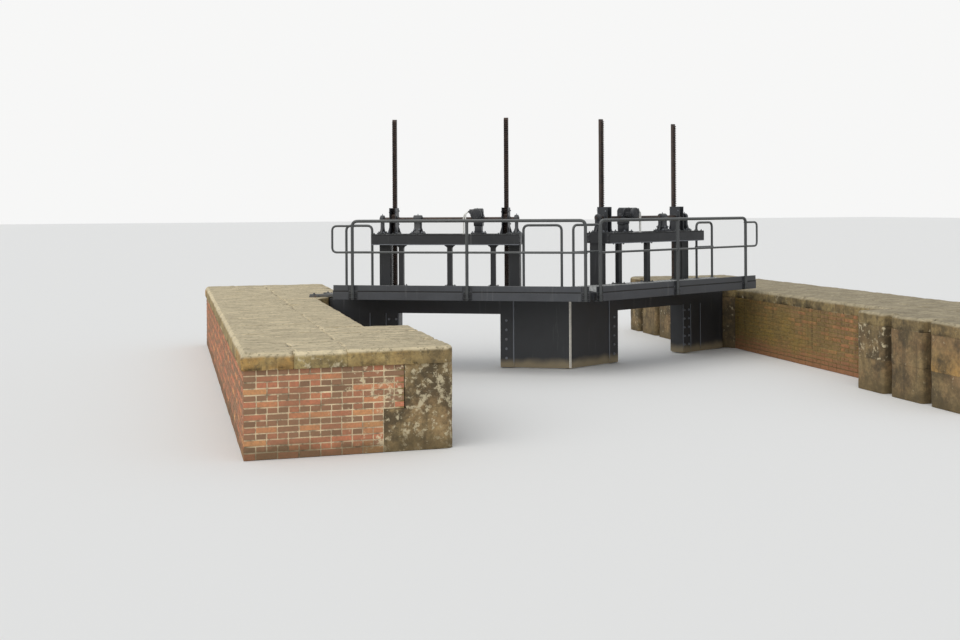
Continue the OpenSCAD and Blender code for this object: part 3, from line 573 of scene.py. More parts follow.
def paint_material(colours, name, paint, roughness=0.42, chalk=0.45, tide=0.0, rust=0.10, dust_and_sheen=1.0):
    """Painted steel: dust on upward faces, rust spots, faint runs and a tide mark. The dust factor brightens the chalk:
    real dust, and where it is over 1 also a painted sky reflection on upward faces.
    """
    material, tree, shader = new_material(name, roughness=roughness)
    cloud = blotches(tree, 3.5, 0.5, 0.25)
    colour = mix(tree, times(tree, cloud, 0.5), paint, paint * 1.5)
    colour = mix(tree, times(tree, effect(tree, "Water Runs", Scale=16.0, Cover=0.30), 0.22), colour, colours.chalk)
    # Chalk on upward faces: dust, which the dust factor brightens into a painted sky reflection on the deck
    lying = times(tree, effect(tree, "Upward Faces"), blotches(tree, 6.0, 0.75, 0.25, 4.0))
    colour = mix(tree, times(tree, lying, chalk), colour, colours.chalk * dust_and_sheen)
    colour = mix(tree, blotches(tree, 24.0, rust, 0.04, 17.0), colour, colours.rust)
    rough = add(tree, "ShaderNodeMapRange",
                (("Value", cloud), ("To Min", roughness - 0.07), ("To Max", roughness + 0.12))).outputs[0]
    if tide:
        mask = effect(tree, "Tide Mark", Height=tide, Ragged=0.03)
        colour = mix(tree, times(tree, mask, 0.9), colour, colours.tide)
        rough = math_node(tree, "ADD", rough, times(tree, mask, 0.3), clamp=True)
    tree.links.new(colour, shader.inputs["Base Color"])
    tree.links.new(rough, shader.inputs["Roughness"])
    height = effect(tree, "Surface Grain", Coarse=5.0, Fine=70.0, Fine_Share=0.12)
    add_bump(tree, shader, height, 0.003, 0.6)
    return material


def plain_metal(name, colour, metallic, roughness, dirt):
    """Bare or greased steel with dirt in patches."""
    material, tree, shader = new_material(name, metallic=metallic, roughness=roughness)
    stained = mix(tree, blotches(tree, 18.0, 0.4, 0.2), colour, dirt)
    tree.links.new(stained, shader.inputs["Base Color"])
    add_bump(tree, shader, effect(tree, "Surface Grain", Coarse=20.0, Fine=120.0, Fine_Share=0.3), 0.002, 0.5)
    return material


def rubber_material(name, colour):
    """Weathered rubber or plastic with grime."""
    material, tree, shader = new_material(name, roughness=0.6)
    grimy = mix(tree, times(tree, blotches(tree, 12.0, 0.4, 0.2), 0.5), colour, colour * 0.5)
    tree.links.new(grimy, shader.inputs["Base Color"])
    add_bump(tree, shader, effect(tree, "Surface Grain", Coarse=30.0, Fine=150.0), 0.001, 0.5)
    return material


def finish(name):
    """The material of that name, made on first use."""
    if name in bpy.data.materials:
        return bpy.data.materials[name]
    masonry, steel = bpy.context.scene.gate_masonry_colours, bpy.context.scene.gate_steel_colours
    makers = {
        "Brick": lambda: brick_material(masonry, name, 0.14),
        "Wet Brick": lambda: brick_material(masonry, name, 0.10, wet=True),
        "Mortar": lambda: mortar_material(masonry),
        "Nose Stone": lambda: stone_material(masonry, name, masonry.stone * 1.15, 0.36, 0.26),
        # Shaded Stone: the nose stone darkened for the right bank, a painted shade
        "Shaded Stone": lambda: stone_material(masonry, name, masonry.stone * 0.82, 0.42, 0.18),
        # Groove floors: the stone at a quarter of its brightness, a painted shade in the recess
        "Shaded Groove Stone": lambda: stone_material(masonry, name, masonry.stone * 0.25, 0.5, 0.03),
        "Coping Stone": lambda: stone_material(masonry, name, masonry.coping_side, 0.22, 0.20, damp=0,
                                               top=masonry.coping),
        # Shaded Coping: the coping's colours darkened for the right bank, a painted shade
        "Shaded Coping": lambda: stone_material(masonry, name, masonry.coping_side * 0.8, 0.28, 0.18, damp=0,
                                                top=masonry.coping * 0.62),
        "Leaf Paint": lambda: paint_material(steel, name, steel.leaf_paint * 0.85, tide=0.19, rust=0.07),
        # Deck: the pale chalk on the plate is partly dust and partly a painted reflection of the sky
        "Deck Paint": lambda: paint_material(steel, name, steel.leaf_paint * 1.3, roughness=0.5, chalk=0.85, dust_and_sheen=2.5),
        "Rail Paint": lambda: paint_material(steel, name, steel.rail_paint, roughness=0.36, chalk=0.75, rust=0.06),
        "Gear Paint": lambda: paint_material(steel, name, steel.gear_paint, roughness=0.38, chalk=0.4, rust=0.16),
        "Rack Steel": lambda: plain_metal(name, steel.rack_steel, 0.6, 0.42, steel.gear_paint),
        "Quoin Stone": lambda: stone_material(masonry, name, masonry.stone * 0.8, 0.4, 0.08),
        "Fascia Paint": lambda: paint_material(steel, name, steel.leaf_paint * 1.75, roughness=0.45, chalk=0.8,
                                               rust=0.05),
        "Beam Paint": lambda: paint_material(steel, name, steel.leaf_paint * 0.62, roughness=0.42, chalk=0.6,
                                             rust=0.08),
        # Pale edge paint: edge wear, and on the beams' lower flanges a painted highlight
        "Edge Wear and Painted Highlight": lambda: paint_material(steel, name, steel.leaf_paint * 5.0, roughness=0.45, chalk=0.6,
                                                  tide=0.17, rust=0.14),
        # Bolt heads: paint five times the leaf paint, partly worn paint and partly a painted highlight on the heads
        "Bolt Wear and Painted Highlight": lambda: paint_material(steel, name, steel.leaf_paint * 5.4, roughness=0.38, chalk=0.8, rust=0.16),
        "Weathered Iron": lambda: paint_material(steel, name, steel.chalk * 0.6, roughness=0.7, chalk=0.9, rust=0.3),
        "Cable Sheath": lambda: rubber_material(name, steel.cable),
        "Seal Rubber": lambda: rubber_material(name, steel.seal),
        "Shadow Paint": lambda: paint_material(steel, name, steel.gear_paint * 0.25, roughness=0.6, chalk=0.1,
                                               rust=0.04),
    }
    return makers[name]()


# Shapes, each added to a bmesh


def block(bm, low, high, edge=0.0, segments=1):
    """A block between two corners, with its edges bevelled."""
    low, high = Vector(low), Vector(high)
    place = Matrix.Translation((low + high) / 2) @ Matrix.Diagonal((*(high - low), 1))
    verts = bmesh.ops.create_cube(bm, size=1, matrix=place)["verts"]
    if edge:
        edges = list({e for v in verts for e in v.link_edges})
        bevel(bm, edges, edge, segments)


def bevel(bm, edges, offset, segments=1):
    """Rounds edges, as the editor's bevel does."""
    bmesh.ops.bevel(bm, geom=edges, offset=offset, offset_type="OFFSET", segments=segments, profile=0.5,
                    affect="EDGES", clamp_overlap=True, material=-1)


def soften(bm, angle, edge, segments=1):
    """Rounds the edges that are sharper than an angle in degrees."""
    bevel(bm, [e for e in bm.edges if e.calc_face_angle(0) > math.radians(angle)], edge, segments)


def prism(bm, corners, rise):
    """A solid that stands on a flat outline."""
    base = bm.faces.new([bm.verts.new(corner) for corner in corners])
    raised = bmesh.ops.extrude_face_region(bm, geom=[base])["geom"]
    bmesh.ops.translate(bm, vec=rise, verts=[g for g in raised if isinstance(g, bmesh.types.BMVert)])
    bmesh.ops.recalc_face_normals(bm, faces=bm.faces)


def rod(bm, start, end, radius, segments=20, end_radius=None, edge=0.0):
    """A round bar from start to end, tapered if end_radius is given."""
    start, end = Vector(start), Vector(end)
    along = end - start
    place = Matrix.Translation((start + end) / 2) @ along.to_track_quat("Z", "Y").to_matrix().to_4x4()
    verts = bmesh.ops.create_cone(bm, cap_ends=True, segments=segments, radius1=radius,
                                  radius2=radius if end_radius is None else end_radius, depth=along.length,
                                  matrix=place)["verts"]
    if edge:
        rims = list({e for v in verts for e in v.link_edges if len(e.link_faces) == 2
                     and max(len(f.verts) for f in e.link_faces) == segments})
        bevel(bm, rims, edge, 2)


def bolt(bm, at, along, across, nut=False):
    """A hexagon bolt head on a washer, standing out along a direction."""
    at, along = Vector(at), Vector(along).normalized()
    rod(bm, at, at + along * across * 0.12, across * 0.62, 16)
    rod(bm, at + along * across * 0.12, at + along * across * 0.55, across * 0.5, 6, across * 0.47)
    if nut:
        rod(bm, at + along * across * 0.5, at + along * across * 0.9, across * 0.27, 10, across * 0.24)


def tube(bm, points, radius, ring=6, bends=0.0):
    """A tube along points, its corners rounded to a radius."""
    path = bpy.data.curves.new("path", "CURVE")
    path.dimensions, path.bevel_depth, path.bevel_resolution, path.use_fill_caps = "3D", radius, ring, True
    route = rounded(points, bends) if bends else [Vector(p) for p in points]
    spline = path.splines.new("POLY")
    spline.points.add(len(route) - 1)
    for point, place in zip(spline.points, route):
        point.co = (*place, 1)
    carrier = bpy.data.objects.new("path", path)
    mesh = bpy.data.meshes.new_from_object(carrier)
    bm.from_mesh(mesh)
    bpy.data.objects.remove(carrier)
    bpy.data.curves.remove(path)
    bpy.data.meshes.remove(mesh)


def rounded(points, radius, steps=8):
    """The points of a route whose corners are rounded."""
    points = [Vector(p) for p in points]
    route = [points[0]]
    for before, corner, after in zip(points, points[1:], points[2:]):
        back, on = (before - corner).normalized(), (after - corner).normalized()
        reach = radius / math.tan(back.angle(on) / 2)
        start, end = corner + back * reach, corner + on * reach
        for i in range(steps + 1):
            t = i / steps
            route.append(start.lerp(corner, t).lerp(corner.lerp(end, t), t))
    return route + [points[-1]]


def make_piece(name, bm, finishes, body, place, replaced=(), smooth=True):
    """Turns a bmesh into a piece on a body. Its place goes into its mesh."""
    bmesh.ops.transform(bm, matrix=place, verts=bm.verts)
    if place.determinant() < 0:
        bmesh.ops.reverse_faces(bm, faces=bm.faces)
    mesh = bpy.data.meshes.new(name)
    bm.to_mesh(mesh)
    bm.free()
    if smooth:
        mesh.shade_smooth()
        mesh.set_sharp_from_angle(angle=math.radians(38))
    for label in finishes:
        mesh.materials.append(finish(label))
    piece = bpy.data.objects.new(name, mesh)
    bpy.context.scene.collection.objects.link(piece)
    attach(piece, body)
    if replaced:
        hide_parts(*replaced)


# Masonry

# Half the gap between two stones
DRY_JOINT = 0.0008
# Rounded edges of a stone
STONE_EDGE = 0.007
# Thickness of the long arm of a corner stone
CORNER_ARM = 0.1
# How deep the sheltered stones are worn: in the grooves and over the quoin
SHELTERED_WEAR = 0.006
# From the middle of the lock to the back of the coping's edge stones, and to the joint between the end stones
EDGE_ROW, END_ROW = 4.42, 4.98
# Bricks: rounded edges, sway of the faces, and the shortest cut piece
BRICK_EDGE, BRICK_SWAY, CUT_BRICK = 0.004, 0.0015, 0.035


def whole(bm):
    """All that a bmesh holds, for a cut through it."""
    return bm.verts[:] + bm.edges[:] + bm.faces[:]


def with_tone(bm, tone=0.0):
    """Gives a bmesh's faces the tone that their finish reads."""
    layer = bm.faces.layers.float.new("tone")
    for face in bm.faces:
        face[layer] = tone
    return bm


def cut_grid(bm, cell):
    """Cuts a stone into cells along all three directions."""
    for axis in range(3):
        places = [v.co[axis] for v in bm.verts]
        low, high = min(places), max(places)
        count = max(1, round((high - low) / cell))
        for i in range(1, count):
            at, normal = Vector(), Vector()
            at[axis], normal[axis] = low + (high - low) * i / count, 1
            bmesh.ops.bisect_plane(bm, geom=whole(bm), plane_co=at, plane_no=normal, dist=SAME)


def weather(bm, wear, seed, held=()):
    """Wears a stone inwards, deepest along its edges. Held planes (axis, place) are joints and stay flat."""
    bm.normal_update()
    shift = Vector((seed * 7.31, seed * 3.17, seed * 5.71))
    moves = []
    for v in bm.verts:
        flat = min((v.normal.dot(f.normal) for f in v.link_faces), default=1)
        swell = noise.fractal((v.co + shift) * 2.6, 0.7, 2.1, 4)
        pit = noise.noise((v.co + shift) * 21)
        depth = wear * (0.55 + 0.55 * swell + 0.22 * pit) + wear * (1 - flat) * (1.2 + 2.2 * swell)
        move = v.normal * -min(max(depth, 0), wear * 3.2)
        for axis, place in held:
            if abs(v.co[axis] - place) < 0.0005:
                move[axis] = 0
        moves.append(move)
    for v, move in zip(bm.verts, moves):
        v.co += move


def stone(outline, low, high, lips, edge, cell, wear, seed, held, crown=0.0, free=None, tone=0.3):
    """One stone on a plan outline: rounded lips at given corners, a worn crown on its free upper edges, worn faces."""
    bm = bmesh.new()
    prism(bm, [(x, y, low) for x, y in outline], (0, 0, high - low))
    for corner, radius in lips.items():
        place = Vector(outline[corner])
        post = [e for e in bm.edges if all((v.co.xy - place).length < SAME for v in e.verts)]
        bevel(bm, post, radius, 5)
    if crown:
        upper = []
        for e in bm.edges:
            side = [f.normal for f in e.link_faces if abs(f.normal.z) < 0.5]
            middle = (e.verts[0].co + e.verts[1].co) / 2
            if len(side) == 1 and all(v.co.z > high - SAME for v in e.verts) and free(middle, side[0]):
                upper.append(e)
        bevel(bm, upper, crown, 4)
    soften(bm, 40, edge, 2)
    cut_grid(bm, cell)
    weather(bm, wear, seed, held)
    return with_tone(bm, tone)


def append(bm, other):
    """Adds another bmesh's shape, and frees it."""
    mesh = bpy.data.meshes.new("part")
    other.to_mesh(mesh)
    other.free()
    bm.from_mesh(mesh)
    bpy.data.meshes.remove(mesh)


def lay_bricks(bm, origin, along, out, length, height, sizes, rng, first=0.0, quoin=0.0):
    """Brick faces on one side of a wall: courses of stretchers and headers by turns.

    quoin is how much of each course below the bed joint a long corner stone takes."""
    wall = bmesh.new()
    tone = wall.faces.layers.float.new("tone")
    origin, along, out, up = Vector(origin), Vector(along), Vector(out), UP
    turn = Matrix((along, up, out)).transposed().to_4x4()
    header = (sizes.brick - sizes.joint) / 2
    courses = int(height / sizes.course + 0.3)
    for k in range(courses):
        foot = k * sizes.course + (sizes.joint if k else 0.0)
        head = min((k + 1) * sizes.course, height)
        start = first + (quoin if head <= sizes.bed_z + 0.02 and quoin else 0.0)
        size = header if k % 2 else sizes.brick
        reach = start - (0 if k % 4 < 2 else size * 0.5 + sizes.joint / 2) * (k % 2 == 0)
        while reach < length - 0.03:
            left, right = max(reach, start), min(reach + size, length)
            right = length if length - right < 0.06 else right
            if right - left > CUT_BRICK:
                sway = [rng.uniform(-1, 1) * BRICK_SWAY for _ in range(3)]
                middle = origin + along * ((left + right) / 2 + sway[0]) + up * ((foot + head) / 2 + sway[1])
                place = Matrix.Translation(middle) @ turn @ Matrix.Rotation(rng.uniform(-1, 1) * 0.006, 4, "Z") \
                    @ Matrix.Diagonal((right - left, head - foot - 0.001, 1, 1))
                made = bmesh.ops.create_grid(wall, x_segments=1, y_segments=1, size=0.5, matrix=place)["verts"]
                soft = 0.55 * max(0.0, 1 - head / 0.5) * max(0.0, 1 - (left - first) / 1.1)
                made[0].link_faces[0][tone] = min(max(rng.gauss(0.36 if k % 2 else 0.56, 0.20) + soft, 0), 1)
            reach += size + sizes.joint
    faces = bmesh.ops.extrude_discrete_faces(wall, faces=wall.faces[:])["faces"]
    for face in faces:
        set_back = sizes.joint_depth * min(1.0, max(0.0, rng.gauss(0.12, 0.18)))
        bmesh.ops.translate(wall, vec=-out * set_back, verts=face.verts)
        for edge in face.edges:
            for other in edge.link_faces:
                other[tone] = face[tone]
    fronts = {v for f in faces for v in f.verts}
    bmesh.ops.translate(wall, vec=-out * sizes.joint_depth, verts=[v for v in wall.verts if v not in fronts])
    rims = list({e for f in faces for e in f.edges})
    bevel(wall, rims, BRICK_EDGE)
    for v in wall.verts:
        sideways, upwards = noise.noise(v.co * 40), noise.noise(v.co * 37 + Vector((3, 5, 7)))
        v.co += along * sideways * BRICK_SWAY + up * upwards * BRICK_SWAY
        v.co.z = max(v.co.z, 0.0)
    append(bm, wall)


class GATE_OT_brickwork(bpy.types.Operator):
    """Builds the mortar core and the bricks of both walls"""

    bl_idname = "gate.brickwork"
    bl_label = "Brickwork"

    def execute(self, context):
        sizes = context.scene.gate_masonry
        d, length = sizes.joint_depth, 2 * sizes.end_y
        depth = sizes.outer_x - sizes.recess_x
        for number, side in enumerate(SIDES):
            core = bmesh.new()
            corner, arm, bed = sizes.recess_x + sizes.long_quoin, 0.095, sizes.bed_z + 0.004
            block(core, (corner, -sizes.end_y + d, 0), (sizes.outer_x - d, sizes.end_y - d, sizes.coping_z))
            block(core, (sizes.recess_x + d, -sizes.end_y + d, bed), (corner, sizes.end_y - d, sizes.coping_z))
            block(core, (sizes.recess_x + d, -sizes.end_y + arm, 0), (corner, sizes.end_y - arm, bed))
            make_piece(f"{side}_mortar", core, ["Mortar"], "abutments", wall_frame(side),
                       [f"{side}_brickwork"], smooth=False)
            rng = random.Random(40 + number)
            ends = with_tone(bmesh.new())
            for sign in (-1, 1):
                lay_bricks(ends, (sizes.recess_x, sign * sizes.end_y, 0), (1, 0, 0), (0, sign, 0), depth,
                           sizes.coping_z, sizes, rng, first=0.01, quoin=sizes.long_quoin)
            lay_bricks(ends, (sizes.outer_x, -sizes.end_y + d, 0), (0, 1, 0), (1, 0, 0), length - 2 * d, sizes.coping_z,
                       sizes, rng)
            make_piece(f"{side}_end_bricks", ends, ["Brick"], "abutments", wall_frame(side))
            recess = with_tone(bmesh.new())
            lay_bricks(recess, (sizes.recess_x, sizes.nose_y, 0), (0, 1, 0), (-1, 0, 0),
                       sizes.quoin_y[0] - sizes.nose_y, sizes.coping_z, sizes, rng)
            make_piece(f"{side}_recess_bricks", recess, ["Wet Brick"], "abutments", wall_frame(side))
        return {"FINISHED"}


NOSE_TONES = {"left": ((0.25, 0.15), (0.35, 0.30), (0.16, 0.06)), "right": ((0.44, 0.08), (0.50, 0.40), (0.40, 0.98))}


def nose_stones(sizes, side, near, rng):
    """Pillars of two courses between the grooves, and the floors of the grooves, darkened as painted shade."""
    pillars, floors = with_tone(bmesh.new()), with_tone(bmesh.new())
    sign = -1 if near else 1
    half, gap = sizes.groove / 2, DRY_JOINT
    grooves = sizes.near_grooves if near else sizes.far_grooves
    start = -sizes.nose_y if near else sizes.quoin_y[1]
    spans = [(start, grooves[0] - half, sizes.nose_lip if near else 0.0, sizes.lip),
             (grooves[0] + half, grooves[1] - half, sizes.lip, sizes.lip),
             (grooves[1] + half, sizes.end_y, sizes.lip, sizes.end_lip)]
    courses = ((0.0, sizes.bed_z - gap), (sizes.bed_z + gap, sizes.coping_z - 0.002))
    for number, (y0, y1, lip0, lip1) in enumerate(spans):
        for course, (low, high) in enumerate(courses):
            last = number == 2 and course == 0
            back = sizes.recess_x + (sizes.long_quoin if last else 0.0)
            outline = [(sizes.nose_x, sign * y0), (sizes.nose_x, sign * y1), (back, sign * y1)]
            outline += [(back, sign * (y1 - CORNER_ARM)), (sizes.recess_x, sign * (y1 - CORNER_ARM))] if last else []
            outline += [(sizes.recess_x, sign * y0)]
            lips = {i: r for i, r in ((0, lip0), (1, lip1)) if r}
            tone = NOSE_TONES[side][number][course] if near else rng.uniform(0.1, 0.6)
            append(pillars, stone(outline, low, high, lips, STONE_EDGE, sizes.cell, sizes.stone_wear, rng.randrange(90),
                                  ((2, low), (2, high), (0, back)), tone=tone))
    for centre in grooves:
        for low, high in courses:
            x, y0, y1 = sizes.nose_x + sizes.groove, sign * (centre - half - 0.01), sign * (centre + half + 0.01)
            append(floors, stone([(x, y0), (x, y1), (sizes.recess_x, y1), (sizes.recess_x, y0)], low, high, {}, 0.006,
                                 sizes.cell, SHELTERED_WEAR, rng.randrange(90), ((2, low), (2, high))))
    return pillars, floors


class GATE_OT_nose_stones(bpy.types.Operator):
    """Builds the worn stone noses with their stop log grooves"""

    bl_idname = "gate.nose_stones"
    bl_label = "Nose Stones"

    def execute(self, context):
        sizes = context.scene.gate_masonry
        for number, side in enumerate(SIDES):
            rng = random.Random(7 + number)
            for label, near in (("near", True), ("far", False)):
                pillars, floors = nose_stones(sizes, side, near, rng)
                # The right bank's pillars take the darker stone: painted shade
                make_piece(f"{side}_{label}_pillars", pillars, ["Nose Stone" if side == "left" else "Shaded Stone"],
                           "abutments", wall_frame(side), [f"{side}_{label}_nose"])
                make_piece(f"{side}_{label}_grooves", floors, ["Shaded Groove Stone"], "abutments", wall_frame(side))
        return {"FINISHED"}


class GATE_OT_coping(bpy.types.Operator):
    """Builds the coping: notched nose stones, edge stones, end stones and a back row"""

    bl_idname = "gate.coping"
    bl_label = "Coping"

    def execute(self, context):
        sizes = context.scene.gate_masonry
        for number, side in enumerate(SIDES):
            rng = random.Random(23 + number)
            bm = with_tone(bmesh.new())
            for outline, lips, tone in coping_outlines(sizes, rng):
                seed, held = rng.randrange(90), joints(sizes, outline)
                append(bm, stone(outline, sizes.coping_z, sizes.wall_z, lips, STONE_EDGE, sizes.cell, sizes.stone_wear,
                                 seed, held, sizes.crown, lambda middle, normal: free_side(sizes, middle, normal),
                                 tone))
            append(bm, quoin_coping(side, sizes))
            # The right bank's coping takes the darker copy: painted shade
            make_piece(f"{side}_coping_stones", bm, ["Coping Stone" if side == "left" else "Shaded Coping"],
                       "abutments", wall_frame(side), [f"{side}_coping"])
        return {"FINISHED"}


def free_side(sizes, middle, normal):
    """Whether an upper edge of the coping stands free: over the lock, in a groove, at an end or at the back."""
    if abs(middle.y) > sizes.end_y - 0.25 and abs(normal.y) > 0.5 and normal.y * middle.y > 0:
        return True
    return normal.x < -0.5 and middle.x < 4.0 or middle.x < sizes.recess_x - 0.02 or middle.x > sizes.outer_x


def joints(sizes, outline):
    """The planes of a coping stone that meet its neighbours or the wall below, as (axis, place)."""
    planes = [(2, sizes.coping_z)]
    for (x0, y0), (x1, y1) in zip(outline, outline[1:] + outline[:1]):
        if abs(y0 - y1) < 1e-6:
            axis, middle, outward = 1, Vector(((x0 + x1) / 2, y0, 0)), Vector((0, 1 if y0 > 0 else -1, 0))
        else:
            axis, middle, outward = 0, Vector((x0, (y0 + y1) / 2, 0)), Vector((1 if x0 > 4.2 else -1, 0, 0))
        if not free_side(sizes, middle, outward):
            planes.append((axis, middle[axis]))
    return planes


def coping_outlines(sizes, rng):
    """Plans of the coping stones of one wall, each with the corners that are rounded and its tone."""
    gap, inner, half, floor = DRY_JOINT, EDGE_ROW, sizes.groove / 2, sizes.nose_x + sizes.groove
    end, outer = sizes.end_y + sizes.overhang, sizes.outer_x + sizes.overhang
    plans = []
    for sign in (-1, 1):
        grooves = sizes.near_grooves if sign < 0 else sizes.far_grooves
        start = -sizes.nose_y if sign < 0 else sizes.quoin_y[1]
        cuts = [start, *grooves, end]
        for i in range(3):
            y0, y1 = cuts[i] + gap, cuts[i + 1] - gap
            face0 = y0 + (half if i else 0.0)
            face1 = y1 - (half if i < 2 else 0.0)
            points = [(inner, y0)]
            points += [(floor, y0), (floor, face0)] if i else [(sizes.recess_x, y0)] if sign < 0 else []
            first = len(points)
            points += [(sizes.nose_x, face0), (sizes.nose_x, face1)]
            points += [(floor, face1), (floor, y1)] if i < 2 else []
            points += [(inner, y1)]
            lips = {first + 1: sizes.lip if i < 2 else sizes.end_lip + 0.03}
            if i:
                lips[first] = sizes.lip
            elif sign < 0:
                lips[first] = sizes.nose_lip
            plans.append(([(x, sign * y) for x, y in points], lips, 0.62 if i == 2 else 0.3))
        cut = sign * grooves[1]
        for low, high, tone in ((inner + gap, END_ROW, 0.12), (END_ROW + gap * 2, outer, 0.90)):
            plans.append(([(low, cut), (high, cut), (high, sign * end), (low, sign * end)], {}, tone))
    row = [sizes.nose_y + (sizes.quoin_y[0] - sizes.nose_y) * i / 4 for i in range(5)]
    for y0, y1 in zip(row, row[1:]):
        plans.append(([(sizes.recess_x, y0 + gap), (sizes.recess_x, y1 - gap), (inner, y1 - gap), (inner, y0 + gap)],
                      {}, rng.uniform(0.1, 0.5)))
    low, high = -sizes.near_grooves[1] + gap, sizes.far_grooves[1] - gap
    row = [low + (high - low) * i / 9 for i in range(10)]
    for y0, y1 in zip(row, row[1:]):
        plans.append(([(inner + 2 * gap, y0 + gap), (outer, y0 + gap), (outer, y1 - gap), (inner + 2 * gap, y1 - gap)],
                      {}, rng.uniform(0.1, 0.8)))
    return plans


def quoin_coping(side, sizes):
    """The coping over the hollow quoin, cut from a merged copy of the CAD node."""
    bm = bmesh.new()
    bm.from_mesh(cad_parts[f"{side}_coping"].data)
    bmesh.ops.transform(bm, matrix=wall_frame(side).inverted(), verts=bm.verts)
    if side == "left":
        bmesh.ops.reverse_faces(bm, faces=bm.faces)
    bmesh.ops.remove_doubles(bm, verts=bm.verts, dist=SAME)
    bmesh.ops.dissolve_limit(bm, angle_limit=math.radians(1), verts=bm.verts, edges=bm.edges)
    cuts = (((0, sizes.quoin_y[0] + 0.003, 0), (0, -1, 0)), ((0, sizes.quoin_y[1] - 0.003, 0), (0, 1, 0)),
            ((EDGE_ROW, 0, 0), (1, 0, 0)))
    for at, normal in cuts:
        cut = bmesh.ops.bisect_plane(bm, geom=whole(bm), plane_co=at, plane_no=normal, clear_outer=True,
                                     dist=SAME)["geom_cut"]
        bmesh.ops.edgenet_fill(bm, edges=[g for g in cut if isinstance(g, bmesh.types.BMEdge)])
    bmesh.ops.recalc_face_normals(bm, faces=bm.faces)
    soften(bm, 40, 0.014, 2)
    cut_grid(bm, sizes.cell)
    weather(bm, SHELTERED_WEAR, 5)
    return with_tone(bm, 0.3)


class GATE_OT_anchors(bpy.types.Operator):
    """Puts bolts on the anchors of the hinge collars: two with nuts and a larger one at each anchor"""

    bl_idname = "gate.anchors"
    bl_label = "Anchor Bolts"

    def execute(self, context):
        for side in SIDES:
            bm = bmesh.new()
            pivot, reach, spread, strap_top, keep_top = anchor_pivot(), 0.38, 0.068, 1.145, 1.165
            for angle in (15, 75):
                along = Vector((math.cos(math.radians(angle)), math.sin(math.radians(angle)), 0))
                across = Vector((-along.y, along.x, 0))
                for out in (-spread, spread):
                    bolt(bm, pivot + along * reach + across * out + UP * strap_top, UP, 0.030, nut=True)
                bolt(bm, pivot + along * reach + UP * keep_top, UP, 0.036)
            make_piece(f"{side}_anchor_bolts", bm, ["Weathered Iron"], "abutments", wall_frame(side))
        return {"FINISHED"}


def anchor_pivot():
    """The hinge axis on the +X bank."""
    s, n = bpy.context.scene.gate_leaf.heel_s, -bpy.context.scene.gate_leaf.leaf_thickness / 2
    place = leaf_frame("right") @ Vector((s, n, 0))
    return Vector((place.x, place.y, 0))


# Leaves

# From the middle of the lock to a fascia's tip
TIP_GAP = 0.058
# Places of the clips under the fascia, from the mitre
CLIP_PLACES = (1.64, 1.88, 2.12)
FINISH_OF_NODE = {
    "quoin_stone": "Quoin Stone", "anchor": "Weathered Iron", "heel_post": "Leaf Paint", "mitre_post": "Leaf Paint",
    "leaf_plates": "Leaf Paint", "top_girder": "Leaf Paint", "bay_posts": "Leaf Paint", "deck_frame": "Fascia Paint",
    "deck_plate": "Deck Paint", "hoist_beams": "Beam Paint", "hoist_legs": "Beam Paint", "rack_guides": "Gear Paint",
    "motor_cables": "Cable Sheath", "drive_shaft": "Rack Steel", "racks": "Rack Steel",
}


class GATE_OT_finishes(bpy.types.Operator):
    """Gives the frame's own parts their finishes"""

    bl_idname = "gate.finishes"
    bl_label = "Finishes"

    def execute(self, context):
        for side in SIDES:
            for part, label in FINISH_OF_NODE.items():
                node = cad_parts[f"{side}_{part}"]
                if not node.material_slots:
                    node.data.materials.append(finish(label))
                for slot in node.material_slots:
                    slot.material = finish(label)
        return {"FINISHED"}


class GATE_OT_leaf_fittings(bpy.types.Operator):
    """Puts bolts and welded strips on the faces of the leaves, and the seal between them"""

    bl_idname = "gate.leaf_fittings"
    bl_label = "Leaf Fittings"

    def execute(self, context):
        leaf = context.scene.gate_leaf
        foot, top, strip = 0.012, leaf.girder_z, 0.012
        inner, outer = leaf.bay[0] - leaf.bay_post, leaf.bay[1] + leaf.bay_post
        for side in SIDES:
            body = f"{side}_leaf"
            bolts = bmesh.new()
            for s in leaf.bolt_rows:
                for i in range(leaf.bolts_in_row):
                    bolt(bolts, (s, 0, leaf.bolt_foot + i * leaf.bolt_pitch), (0, 1, 0), leaf.bolt_head)
            # The pale heads of these bolts are partly worn paint and partly a painted highlight
            make_piece(f"{side}_face_bolts", bolts, ["Bolt Wear and Painted Highlight"], body, leaf_frame(side))
            strips = bmesh.new()
            for s, width, head in ((inner - 0.024, 0.022, leaf.leaf_top - 0.03), (leaf.bay[1] + 0.002, 0.012, top),
                                   (outer + 0.002, 0.014, top), (leaf.heel_s - 0.62, 0.016, top)):
                block(strips, (s, 0, foot), (s + width, strip, head), 0.003)
            make_piece(f"{side}_face_strips", strips, ["Edge Wear and Painted Highlight"], body, leaf_frame(side))
            seal = bmesh.new()
            block(seal, (0.0008, 0, foot), (leaf.seal_width * 0.62, strip, leaf.leaf_top - 0.01), 0.004, 2)
            make_piece(f"{side}_mitre_seal", seal, ["Seal Rubber"], body, leaf_frame(side))
        return {"FINISHED"}


